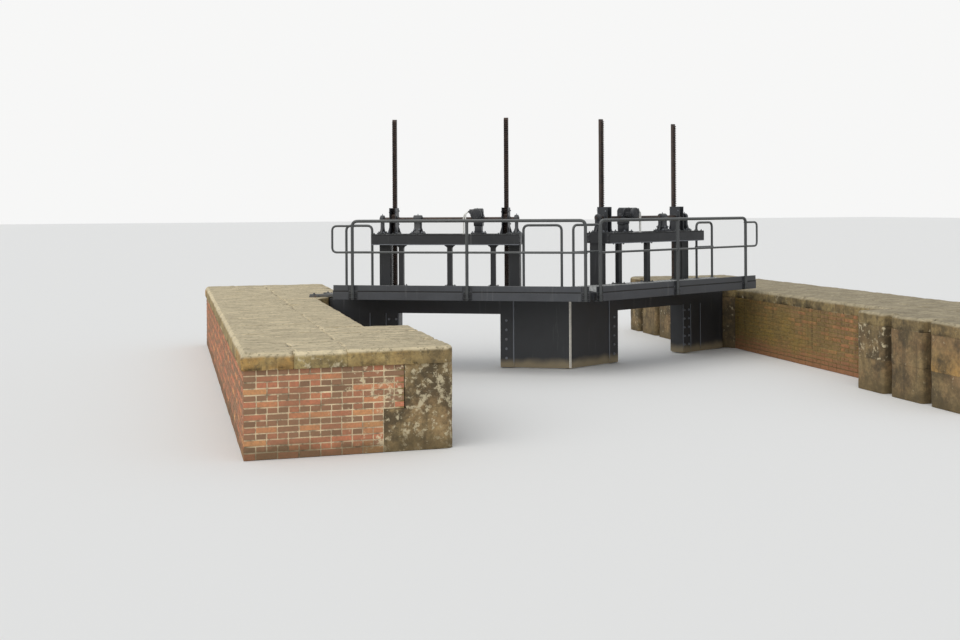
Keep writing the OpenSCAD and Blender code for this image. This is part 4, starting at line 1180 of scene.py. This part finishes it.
class GATE_OT_railings(bpy.types.Operator):
    """Bends the front railings with their outward loops, and the back hoops"""

    bl_idname = "gate.railings"
    bl_label = "Railings"

    def execute(self, context):
        deck = context.scene.gate_deck
        for side in SIDES:
            body, place = f"{side}_leaf", leaf_frame(side)
            first, middle, last = deck.post_s
            n, low = deck.rail_n, deck.fascia_z + 0.005
            rails = bmesh.new()
            tube(rails, [(first, n, low), (first, n, deck.rail_z), (last, n, deck.rail_z), (last, n, low)], deck.rail_r,
                 bends=deck.bend_r)
            rod(rails, (middle, n, low), (middle, n, deck.rail_z - 0.01), deck.rail_r, 28)
            tube(rails, [(first, n, deck.mid_z), (deck.loop_s, n, deck.mid_z), (deck.loop_s, n, deck.loop_z),
                         (last, n, deck.loop_z)], deck.mid_r, bends=deck.bend_r * 0.89)
            for s, z, r in ((middle, deck.rail_z, deck.rail_r), (first, deck.mid_z, deck.mid_r),
                            (middle, deck.mid_z, deck.mid_r), (last, deck.mid_z, deck.mid_r),
                            (last, deck.loop_z, deck.mid_r)):
                weld_bead(rails, (s, n, z), deck.rail_r, r, s == middle and z == deck.rail_z)
            make_piece(f"{side}_front_rails", rails, ["Rail Paint"], body, place,
                       [f"{side}_front_railing"])
            hoops = bmesh.new()
            for start, end in (deck.hoop_s[0:2], deck.hoop_s[2:4]):
                tube(hoops, [(start, -deck.hoop_n, deck.deck_z), (start, -deck.hoop_n, deck.hoop_z),
                             (end, -deck.hoop_n, deck.hoop_z), (end, -deck.hoop_n, deck.deck_z)],
                     deck.hoop_r, bends=deck.bend_r)
                rod(hoops, (start, -deck.hoop_n, deck.hoop_mid_z), (end, -deck.hoop_n, deck.hoop_mid_z), deck.mid_r, 24)
                for s in (start, end):
                    weld_bead(hoops, (s, -deck.hoop_n, deck.hoop_mid_z), deck.hoop_r, deck.mid_r)
                    rod(hoops, (s, -deck.hoop_n, deck.deck_z), (s, -deck.hoop_n, deck.deck_z + 0.008),
                        deck.hoop_r + 0.022, 28, edge=0.002)
                    for turn in range(4):
                        angle = math.radians(45 + 90 * turn)
                        at = Vector((s + 0.033 * math.cos(angle), -deck.hoop_n + 0.033 * math.sin(angle),
                                     deck.deck_z + 0.008))
                        bolt(hoops, at, (0, 0, 1), 0.012)
            make_piece(f"{side}_hoops", hoops, ["Rail Paint"], body, place, [f"{side}_back_hoops"])
        return {"FINISHED"}


def weld_bead(bm, at, post_r, bar_r, below=False):
    """A ring of weld where a bar meets a post."""
    at = Vector(at)
    if below:
        rod(bm, at - Vector((0, 0, post_r + 0.006)), at - Vector((0, 0, post_r - 0.004)), post_r + 0.004, 20,
            edge=0.003)
        return
    for sign in (-1, 1):
        inner = at + Vector((sign * (post_r - 0.004), 0, 0))
        rod(bm, inner, inner + Vector((sign * 0.009, 0, 0)), bar_r + 0.005, 16, bar_r + 0.001)


class GATE_OT_deck_fittings(bpy.types.Operator):
    """Puts toe strips, a painted shadow line between them, post brackets and bolts on the fascias"""

    bl_idname = "gate.deck_fittings"
    bl_label = "Deck Fittings"

    def execute(self, context):
        deck, leaf = context.scene.gate_deck, context.scene.gate_leaf
        tip = (TIP_GAP - deck.fascia_n * math.sin(MITRE_ANGLE)) / math.cos(MITRE_ANGLE)
        for side in SIDES:
            body, place = f"{side}_leaf", leaf_frame(side)
            strips, shadow_seams = bmesh.new(), bmesh.new()
            stops = [tip + 0.012, *(v for s in deck.post_s for v in (s - 0.075, s + 0.075)), deck.fascia_end - 0.012]
            for start, end in zip(stops[0::2], stops[1::2]):
                if end - start > 0.03:
                    block(strips, (start, deck.fascia_n - 0.009, deck.deck_z - 0.004),
                          (end, deck.fascia_n + 0.002, deck.toe_z - 0.002), 0.003)
                    block(strips, (start, deck.fascia_n - 0.001, deck.fascia_z + 0.002),
                          (end, deck.fascia_n + 0.004, deck.deck_z - 0.024), 0.003)
                    # Painted shadow: a dark strip in the gap between the toe strip and the lower strip
                    block(shadow_seams, (start, deck.fascia_n - 0.001, deck.deck_z - 0.026),
                          (end, deck.fascia_n + 0.001, deck.deck_z - 0.002))
            make_piece(f"{side}_toe_strips", strips, ["Fascia Paint"], body, place)
            make_piece(f"{side}_toe_shadow_seams", shadow_seams, ["Shadow Paint"], body, place)
            brackets, bolts = bmesh.new(), bmesh.new()
            for s in deck.post_s:
                block(brackets, (s - 0.068, deck.fascia_n - 0.002, deck.fascia_z + 0.004),
                      (s + 0.068, deck.fascia_n + 0.009, deck.deck_z - 0.012), 0.003)
                for z in (deck.fascia_z + 0.035, deck.deck_z - 0.045):
                    arm, reach = 0.040, deck.rail_n + 0.034
                    clamp = [(s - arm, deck.fascia_n, z), (s - arm, reach, z), (s + arm, reach, z),
                             (s + arm, deck.fascia_n, z)]
                    tube(bolts, clamp, 0.005, ring=2, bends=0.036)
                    for out in (-0.056, 0.056):
                        bolt(bolts, (s + out, deck.fascia_n + 0.009, z), (0, 1, 0), 0.02)
            make_piece(f"{side}_post_brackets", brackets, ["Beam Paint"], body, place)
            for s in CLIP_PLACES:
                for low, high in ((s - 0.05, s - 0.042), (s + 0.042, s + 0.05)):
                    block(bolts, (low, 0, leaf.girder_z + 0.215), (high, 0.075, leaf.girder_z + 0.30), 0.002)
                z = leaf.girder_z + 0.245
                rod(bolts, (s - 0.065, 0.045, z), (s + 0.065, 0.045, z), 0.014, 16)
            make_piece(f"{side}_deck_bolts", bolts, ["Gear Paint"], body, place)
        return {"FINISHED"}


class GATE_OT_deck_tread(bpy.types.Operator):
    """Raises the short bars of the chequer plate on the decks"""

    bl_idname = "gate.deck_tread"
    bl_label = "Deck Tread"

    def execute(self, context):
        deck = context.scene.gate_deck
        half_length, half_width, height = deck.tread_bar[0] / 2, deck.tread_bar[1] / 2, deck.tread_bar[2]
        for side in SIDES:
            place = leaf_frame(side)
            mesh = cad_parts[f"{side}_deck_plate"].data
            tree = BVHTree.FromPolygons([v.co for v in mesh.vertices], [p.vertices[:] for p in mesh.polygons])
            bm = bmesh.new()
            for i in range(round(-0.8 / deck.tread_pitch), round(4.2 / deck.tread_pitch)):
                for j in range(round(-0.8 / deck.tread_pitch), round(1.0 / deck.tread_pitch)):
                    middle = Vector((i * deck.tread_pitch, j * deck.tread_pitch, deck.deck_z))
                    along = Vector((1, 1 if (i + j) % 2 else -1, 0)).normalized()
                    across = Vector((-along.y, along.x, 0))
                    ends = [middle + along * half_length * a * 1.4 + across * half_width * b
                            for a in (-1, 1) for b in (-1, 1)]
                    if all(on_deck(tree, place @ end, deck.deck_z) for end in ends):
                        tread_bar(bm, middle, along * half_length, across * half_width, height)
            make_piece(f"{side}_deck_tread", bm, ["Deck Paint"], f"{side}_leaf", place, smooth=False)
        return {"FINISHED"}


def on_deck(tree, point, height):
    """Whether a point lies over the open top of the deck plate."""
    hit = tree.ray_cast(point + UP * 0.2, -UP, 0.3)[0]
    return hit is not None and abs(hit.z - height) < 0.001


def tread_bar(bm, middle, along, across, height):
    """A raised bar with sloping sides and narrow ends."""
    rows = []
    for lift, length, width in ((-0.0005, 1.0, 1.0), (height, 0.8, 0.45)):
        corners = ((-1, -0.5), (0, -1), (1, -0.5), (1, 0.5), (0, 1), (-1, 0.5))
        rows.append([bm.verts.new(middle + along * a * length + across * b * width + Vector((0, 0, lift))) for a,
                     b in corners])
    bm.faces.new(rows[0][::-1])
    bm.faces.new(rows[1])
    for k in range(6):
        bm.faces.new((rows[0][k], rows[0][(k + 1) % 6], rows[1][(k + 1) % 6], rows[1][k]))


# Hoist

# From the middle of a rack to the face of its guide
GUIDE_CHEEK = 0.056
# Fins round a motor
FINS = 28


def plate(bm, points, axis, low, high, edge=0.002):
    """A flat plate: a profile in the two other directions, raised along an axis from low to high."""
    order = {"x": lambda a, b, c: (c, a, b), "y": lambda a, b, c: (a, c, b)}[axis]
    part = bmesh.new()
    prism(part, [order(a, b, low) for a, b in points], order(0, 0, high - low))
    soften(part, 30, edge)
    append(bm, part)


def both_sides(middle, profile):
    """An outline that is alike on both sides of its middle: up one side and down the other."""
    return [(middle - reach, z) for reach, z in profile] + [(middle + reach, z) for reach, z in reversed(profile)]


class GATE_OT_hoist_frame(bpy.types.Operator):
    """Puts gussets, foot plates and bolts on the frame that carries the hoist, with a painted shadow line under each
    beam's top and a painted highlight along its lower flange
    """

    bl_idname = "gate.hoist_frame"
    bl_label = "Hoist Frame"

    def execute(self, context):
        hoist, deck = context.scene.gate_hoist, context.scene.gate_deck
        back, front = hoist.beam_n
        for side in SIDES:
            body, place = f"{side}_leaf", leaf_frame(side)
            plates, bolts = bmesh.new(), bmesh.new()
            head = hoist.beam_z - 0.013
            for s in hoist.leg_s:
                for sign in (-1, 1):
                    near = s + sign * 0.040
                    gusset = [(near, head), (near + sign * 0.040, head), (near, hoist.beam_z - 0.060)]
                    plate(plates, gusset, "y", -0.096, -0.084)
                    for n in (-0.145, -0.035):
                        bolt(bolts, (s + sign * 0.062, n, head), (0, 0, -1), 0.024)
                block(plates, (s - 0.085, -0.178, deck.deck_z), (s + 0.085, -0.012, deck.deck_z + 0.012), 0.003)
                for sign in (-1, 1):
                    for n in (-0.160, -0.028):
                        bolt(bolts, (s + sign * 0.065, n, deck.deck_z + 0.012), (0, 0, 1), 0.022, nut=True)
            ends = hoist.beam_s
            for s in (*(s + d for s in hoist.stand_s for d in (-0.055, 0.055)),
                      *(s + d for s in hoist.rack_s for d in (-0.07, 0.07))):
                for n in (back + 0.028, front - 0.028):
                    bolt(bolts, (s, n, hoist.beam_top), (0, 0, 1), 0.028, nut=True)
            for s, sign in ((ends[0], -1), (ends[1], 1)):
                for n in (back + 0.05, front - 0.05):
                    for z in (hoist.beam_z + 0.04, hoist.beam_top - 0.04):
                        bolt(bolts, (s, n, z), (sign, 0, 0), 0.026)
            for s in (ends[0] + 0.10, hoist.leg_s[0] + 0.02, hoist.leg_s[1], hoist.leg_s[2] - 0.02, ends[1] - 0.10):
                for low, high in ((front - 0.052, front - 0.008), (back + 0.008, back + 0.052)):
                    block(plates, (s - 0.006, low, hoist.beam_z + 0.008), (s + 0.006, high, hoist.beam_top - 0.008),
                          0.002)
            make_piece(f"{side}_gussets", plates, ["Beam Paint"], body, place)
            shadow_lines, worn = bmesh.new(), bmesh.new()
            # Painted shadow: a dark strip under the top edge of each beam's front
            block(shadow_lines, (ends[0] + 0.002, front - 0.002, hoist.beam_top - 0.020),
                  (ends[1] - 0.002, front + 0.001, hoist.beam_top - 0.002))
            # Painted highlight: a pale strip along the lower flange of each beam's front
            block(worn, (ends[0] + 0.002, front - 0.002, hoist.beam_z + 0.001),
                  (ends[1] - 0.002, front + 0.0012, hoist.beam_z + 0.014))
            make_piece(f"{side}_beam_shadow_lines", shadow_lines, ["Shadow Paint"], body, place)
            make_piece(f"{side}_beam_flange_highlights", worn, ["Edge Wear and Painted Highlight"], body, place)
            make_piece(f"{side}_frame_bolts", bolts, ["Rail Paint"], body, place)
        return {"FINISHED"}


class GATE_OT_bearings(bpy.types.Operator):
    """Builds the flared stands and the pillow block of the drive shaft"""

    bl_idname = "gate.bearings"
    bl_label = "Bearings"

    def execute(self, context):
        hoist = context.scene.gate_hoist
        n, z, top = hoist.shaft_n, hoist.shaft_z, hoist.beam_top
        for side in SIDES:
            body, place = f"{side}_leaf", leaf_frame(side)
            stands, bolts = bmesh.new(), bmesh.new()
            for number, s in enumerate(hoist.stand_s):
                half, foot = (0.065, 0.108) if number == 1 else (0.026, 0.068)
                flare = both_sides(n, ((0.108, top + 0.018), (0.085, top + 0.05), (0.062, top + 0.12), (0.058, z)))
                plate(stands, flare, "x", s - half * 0.8, s + half * 0.8, 0.006)
                rib = both_sides(s, ((foot - 0.004, top + 0.018), (half + 0.018, top + 0.05), (half, top + 0.10),
                                     (half, z - 0.045)))
                plate(stands, rib, "y", n - 0.014, n + 0.014, 0.003)
                block(stands, (s - foot, n - 0.110, top), (s + foot, n + 0.110, top + 0.020), 0.005, 2)
                rod(stands, (s - half - 0.005, n, z), (s + half + 0.005, n, z), 0.060, 32, edge=0.006)
                for sign in (-1, 1):
                    cap = s + sign * (half + 0.005)
                    rod(stands, (cap, n, z), (cap + sign * 0.006, n, z), 0.044, 28, edge=0.002)
                    for out in (-0.086, 0.086):
                        bolt(bolts, (s + sign * (foot - 0.024), n + out, top + 0.020), (0, 0, 1), 0.026, nut=True)
                rod(bolts, (s, n, z + 0.055), (s, n, z + 0.082), 0.007, 12)
                if number == 1:
                    for height in (top + 0.075, z - 0.05):
                        for sign in (-1, 1):
                            rod(stands, (s + sign * 0.04, n - 0.085, height), (s + sign * 0.04, n + 0.085, height),
                                0.019, 20, edge=0.003)
                            for out in (-1, 1):
                                bolt(bolts, (s + sign * 0.04, n + out * 0.085, height), (0, out, 0), 0.026)
            make_piece(f"{side}_bearing_stands", stands, ["Gear Paint"], body, place,
                       [f"{side}_shaft_bearings"])
            make_piece(f"{side}_bearing_bolts", bolts, ["Bolt Wear and Painted Highlight"], body, place)
        return {"FINISHED"}


class GATE_OT_gear_motors(bpy.types.Operator):
    """Builds the gear motors: gearbox, finned motor, fan cowl and terminal box"""

    bl_idname = "gate.gear_motors"
    bl_label = "Gear Motors"

    def execute(self, context):
        hoist = context.scene.gate_hoist
        s, n, z, top = hoist.motor_s, hoist.shaft_n, hoist.shaft_z, hoist.beam_top
        r, axis, front = hoist.motor_r, hoist.motor_z, hoist.motor_n
        for side in SIDES:
            body, place = f"{side}_leaf", leaf_frame(side)
            case, bolts = bmesh.new(), bmesh.new()
            outline = [(n - 0.088, z - 0.118), (n - 0.060, z - 0.130), (n + 0.055, z - 0.130), (n + 0.080, z - 0.100),
                       (n + 0.080, z + 0.130), (n + 0.050, z + 0.168), (n - 0.050, z + 0.168), (n - 0.088, z + 0.120)]
            plate(case, outline, "x", s - 0.072, s + 0.072, 0.010)
            for sign in (-1, 1):
                side_s = s + sign * 0.072
                rod(case, (side_s, n, z), (side_s + sign * 0.013, n, z), 0.072, 40, edge=0.003)
                for turn in range(6):
                    angle = math.radians(60 * turn + 30)
                    bolt(bolts, (side_s + sign * 0.013, n + 0.058 * math.cos(angle), z + 0.058 * math.sin(angle)),
                         (sign, 0, 0), 0.015)
            block(case, (s - 0.110, n - 0.128, top), (s + 0.110, n + 0.128, top + 0.020), 0.005, 2)
            block(case, (s - 0.057, n - 0.086, top + 0.018), (s + 0.057, n + 0.078, z - 0.12), 0.008, 2)
            for along in (-0.088, 0.088):
                for out in (-0.104, 0.104):
                    bolt(bolts, (s + along, n + out, top + 0.020), (0, 0, 1), 0.028, nut=True)
            rod(case, (s, n + 0.072, axis), (s, n + 0.092, axis), r, 40, edge=0.003)
            rod(case, (s, n + 0.092, axis), (s, front - 0.062, axis), r * 0.80, 40)
            for turn in range(FINS):
                angle = math.tau * turn / FINS
                if abs(math.sin(angle)) < 0.97:
                    fin = bmesh.new()
                    block(fin, (-0.0022, n + 0.096, r * 0.76), (0.0022, front - 0.066, r * 0.985))
                    bmesh.ops.rotate(fin, verts=fin.verts, matrix=Matrix.Rotation(angle, 3, "Y"))
                    bmesh.ops.translate(fin, verts=fin.verts, vec=(s, 0, axis))
                    append(case, fin)
            rod(case, (s, front - 0.064, axis), (s, front - 0.012, axis), r, 40, edge=0.004)
            rod(case, (s, front - 0.014, axis), (s, front, axis), r * 0.98, 40, r * 0.80, edge=0.003)
            for ring in (0.30, 0.5, 0.7):
                spokes = bmesh.new()
                points = [(s + r * ring * math.cos(math.tau * i / 24), front + 0.001,
                           axis + r * ring * math.sin(math.tau * i / 24)) for i in range(25)]
                tube(spokes, points, 0.0022, ring=1)
                append(case, spokes)
            make_piece(f"{side}_gear_case", case, ["Gear Paint"], body, place, [f"{side}_gear_motor"])
            box = bmesh.new()
            low, high = (s + 0.022, -0.073, axis + 0.002), (s + r + 0.018, 0.053, axis + 0.076)
            block(box, low, high, 0.007, 2)
            block(box, (low[0] + 0.004, low[1] + 0.004, high[2] - 0.004),
                  (high[0] - 0.004, high[1] - 0.004, high[2] + 0.003), 0.002)
            for out in (-0.040, 0.020):
                rod(box, (high[0] - 0.002, out, axis + 0.04), (high[0] + 0.016, out, axis + 0.04), 0.017, 6)
                rod(box, (high[0] + 0.014, out, axis + 0.04), (high[0] + 0.026, out, axis + 0.04), 0.0145, 20, 0.0125)
            rod(bolts, (s, n + 0.125, axis + r * 0.75), (s, n + 0.125, axis + r + 0.006), 0.009, 12)
            make_piece(f"{side}_terminal_box", box, ["Gear Paint"], body, place)
            make_piece(f"{side}_motor_bolts", bolts, ["Bolt Wear and Painted Highlight"], body, place)
        return {"FINISHED"}


class GATE_OT_rack_guides(bpy.types.Operator):
    """Puts bolts, ribs and keep plates on the rack guides"""

    bl_idname = "gate.rack_guides"
    bl_label = "Rack Guides"

    def execute(self, context):
        hoist = context.scene.gate_hoist
        n, z, top = hoist.shaft_n, hoist.shaft_z, hoist.beam_top
        for side in SIDES:
            body, place = f"{side}_leaf", leaf_frame(side)
            ribs, bolts = bmesh.new(), bmesh.new()
            for s in hoist.rack_s:
                for sign in (-1, 1):
                    cheek = s + sign * GUIDE_CHEEK
                    for low, high in ((-0.345, -0.333), (-0.145, -0.133)):
                        gusset = [(cheek, top + 0.02), (cheek + sign * 0.030, top + 0.02), (cheek, top + 0.12)]
                        plate(ribs, gusset, "y", low, high)
                    rod(ribs, (cheek - sign * 0.002, n, z), (cheek + sign * 0.014, n, z), 0.048, 32, edge=0.004)
                    for out in (-0.34, -0.13):
                        bolt(bolts, (s + sign * 0.072, out - 0.020 * (1 if out < -0.2 else -1), top + 0.02), (0, 0, 1),
                             0.020)
                    for height in (top + 0.16, top + 0.27, top + 0.38):
                        bolt(bolts, (cheek, -0.334, height), (sign, 0, 0), 0.022)
                    for height in (top + 0.36, top + 0.20):
                        bolt(bolts, (cheek, -0.150, height), (sign, 0, 0), 0.022)
            make_piece(f"{side}_guide_ribs", ribs, ["Gear Paint"], body, place)
            make_piece(f"{side}_guide_bolts", bolts, ["Bolt Wear and Painted Highlight"], body, place)
        return {"FINISHED"}


# Stage

# Half the width of the floor, and its middle: past the gate, and just under the feet of the walls
FLOOR_SIZE, FLOOR_PLACE = 150, (0, 60, -0.004)
SKY_COLOUR, BACKDROP_COLOUR = (0.93, 0.96, 1.0, 1), (0.93, 0.93, 0.925, 1)
# The key light: where it comes from, how wide it is, its colour
KEY_FROM, KEY_SPREAD, KEY_COLOUR = Vector((-0.75, -0.48, 0.92)), math.radians(70), (1.0, 0.97, 0.92)


class GATE_OT_stage(bpy.types.Operator):
    """Lays the pale floor and sets the soft light and the camera"""

    bl_idname = "gate.stage"
    bl_label = "Stage"

    def execute(self, context):
        scene, stage = context.scene, context.scene.gate_stage
        scene.view_settings.view_transform = "Standard"
        bm = bmesh.new()
        bmesh.ops.create_grid(bm, x_segments=1, y_segments=1, size=FLOOR_SIZE, matrix=Matrix.Translation(FLOOR_PLACE))
        mesh = bpy.data.meshes.new("floor")
        bm.to_mesh(mesh)
        bm.free()
        material, _, shader = new_material("Floor", roughness=0.9)
        shader.inputs["Base Color"].default_value = (*stage.floor, 1)
        mesh.materials.append(material)
        floor = bpy.data.objects.new("floor", mesh)
        scene.collection.objects.link(floor)
        world = bpy.data.worlds.new("Soft Light")
        world.use_nodes = True
        scene.world = world
        tree = world.node_tree
        tree.nodes.clear()
        path = add(tree, "ShaderNodeLightPath")
        seen = math_node(tree, "MAXIMUM", path.outputs["Is Camera Ray"],
                         times(tree, path.outputs["Is Glossy Ray"], 0.55))
        light = add(tree, "ShaderNodeBackground", (("Color", SKY_COLOUR), ("Strength", stage.sky)))
        white = add(tree, "ShaderNodeBackground", (("Color", BACKDROP_COLOUR), ("Strength", 1.0)))
        both = add(tree, "ShaderNodeMixShader", ((0, seen), (1, light.outputs[0]), (2, white.outputs[0])))
        add(tree, "ShaderNodeOutputWorld", ((0, both.outputs[0]),))
        lamp = bpy.data.lights.new("key", "SUN")
        lamp.energy, lamp.angle, lamp.color = stage.sun, KEY_SPREAD, KEY_COLOUR
        key = bpy.data.objects.new("key", lamp)
        key.matrix_world = KEY_FROM.to_track_quat("Z", "Y").to_matrix().to_4x4()
        scene.collection.objects.link(key)
        lens = bpy.data.cameras.new("camera")
        lens.lens, lens.sensor_width, lens.shift_y, lens.clip_end = stage.lens, 36, stage.shift_y, 500
        camera = bpy.data.objects.new("camera", lens)
        camera.matrix_world = Matrix.Translation(stage.camera_place) @ Matrix.Rotation(-stage.camera_yaw, 4, "Z") \
            @ Matrix.Rotation(math.radians(90), 4, "X") @ Matrix.Rotation(-stage.camera_roll, 4, "Z")
        scene.collection.objects.link(camera)
        scene.camera = camera
        return {"FINISHED"}


class GATE_PT_panel(bpy.types.Panel):
    """Lists the steps and the values of the sluice gate"""

    bl_idname = "GATE_PT_panel"
    bl_label = "Sluice Gate"
    bl_space_type = "VIEW_3D"
    bl_region_type = "UI"
    bl_category = "Sluice Gate"

    def draw(self, context):
        for operator in OPERATORS:
            self.layout.operator(operator.bl_idname)
        for name, group in GROUPS.items():
            values = getattr(context.scene, name)
            self.layout.label(text=group.__name__)
            for key in group.__annotations__:
                self.layout.prop(values, key)


GROUPS = {
    "gate_masonry": MasonrySizes, "gate_masonry_colours": MasonryColours, "gate_leaf": LeafSizes,
          "gate_deck": DeckSizes,
    "gate_hoist": HoistSizes, "gate_steel_colours": SteelColours, "gate_stage": StageSettings,
}
OPERATORS = (GATE_OT_stage, GATE_OT_finishes, GATE_OT_brickwork, GATE_OT_nose_stones, GATE_OT_coping, GATE_OT_anchors,
             GATE_OT_leaf_fittings, GATE_OT_railings, GATE_OT_deck_fittings, GATE_OT_deck_tread, GATE_OT_hoist_frame,
             GATE_OT_bearings,
             GATE_OT_gear_motors, GATE_OT_rack_guides)


def register():
    for kind in (*GROUPS.values(), *OPERATORS, GATE_PT_panel):
        bpy.utils.register_class(kind)
    for name, group in GROUPS.items():
        setattr(bpy.types.Scene, name, PointerProperty(type=group))


def unregister():
    for name in GROUPS:
        delattr(bpy.types.Scene, name)
    for kind in reversed((*GROUPS.values(), *OPERATORS, GATE_PT_panel)):
        bpy.utils.unregister_class(kind)


def main():
    register()
    for operator in OPERATORS:
        getattr(bpy.ops.gate, operator.bl_idname.split(".")[1])()


if __name__ == "__main__":
    main()
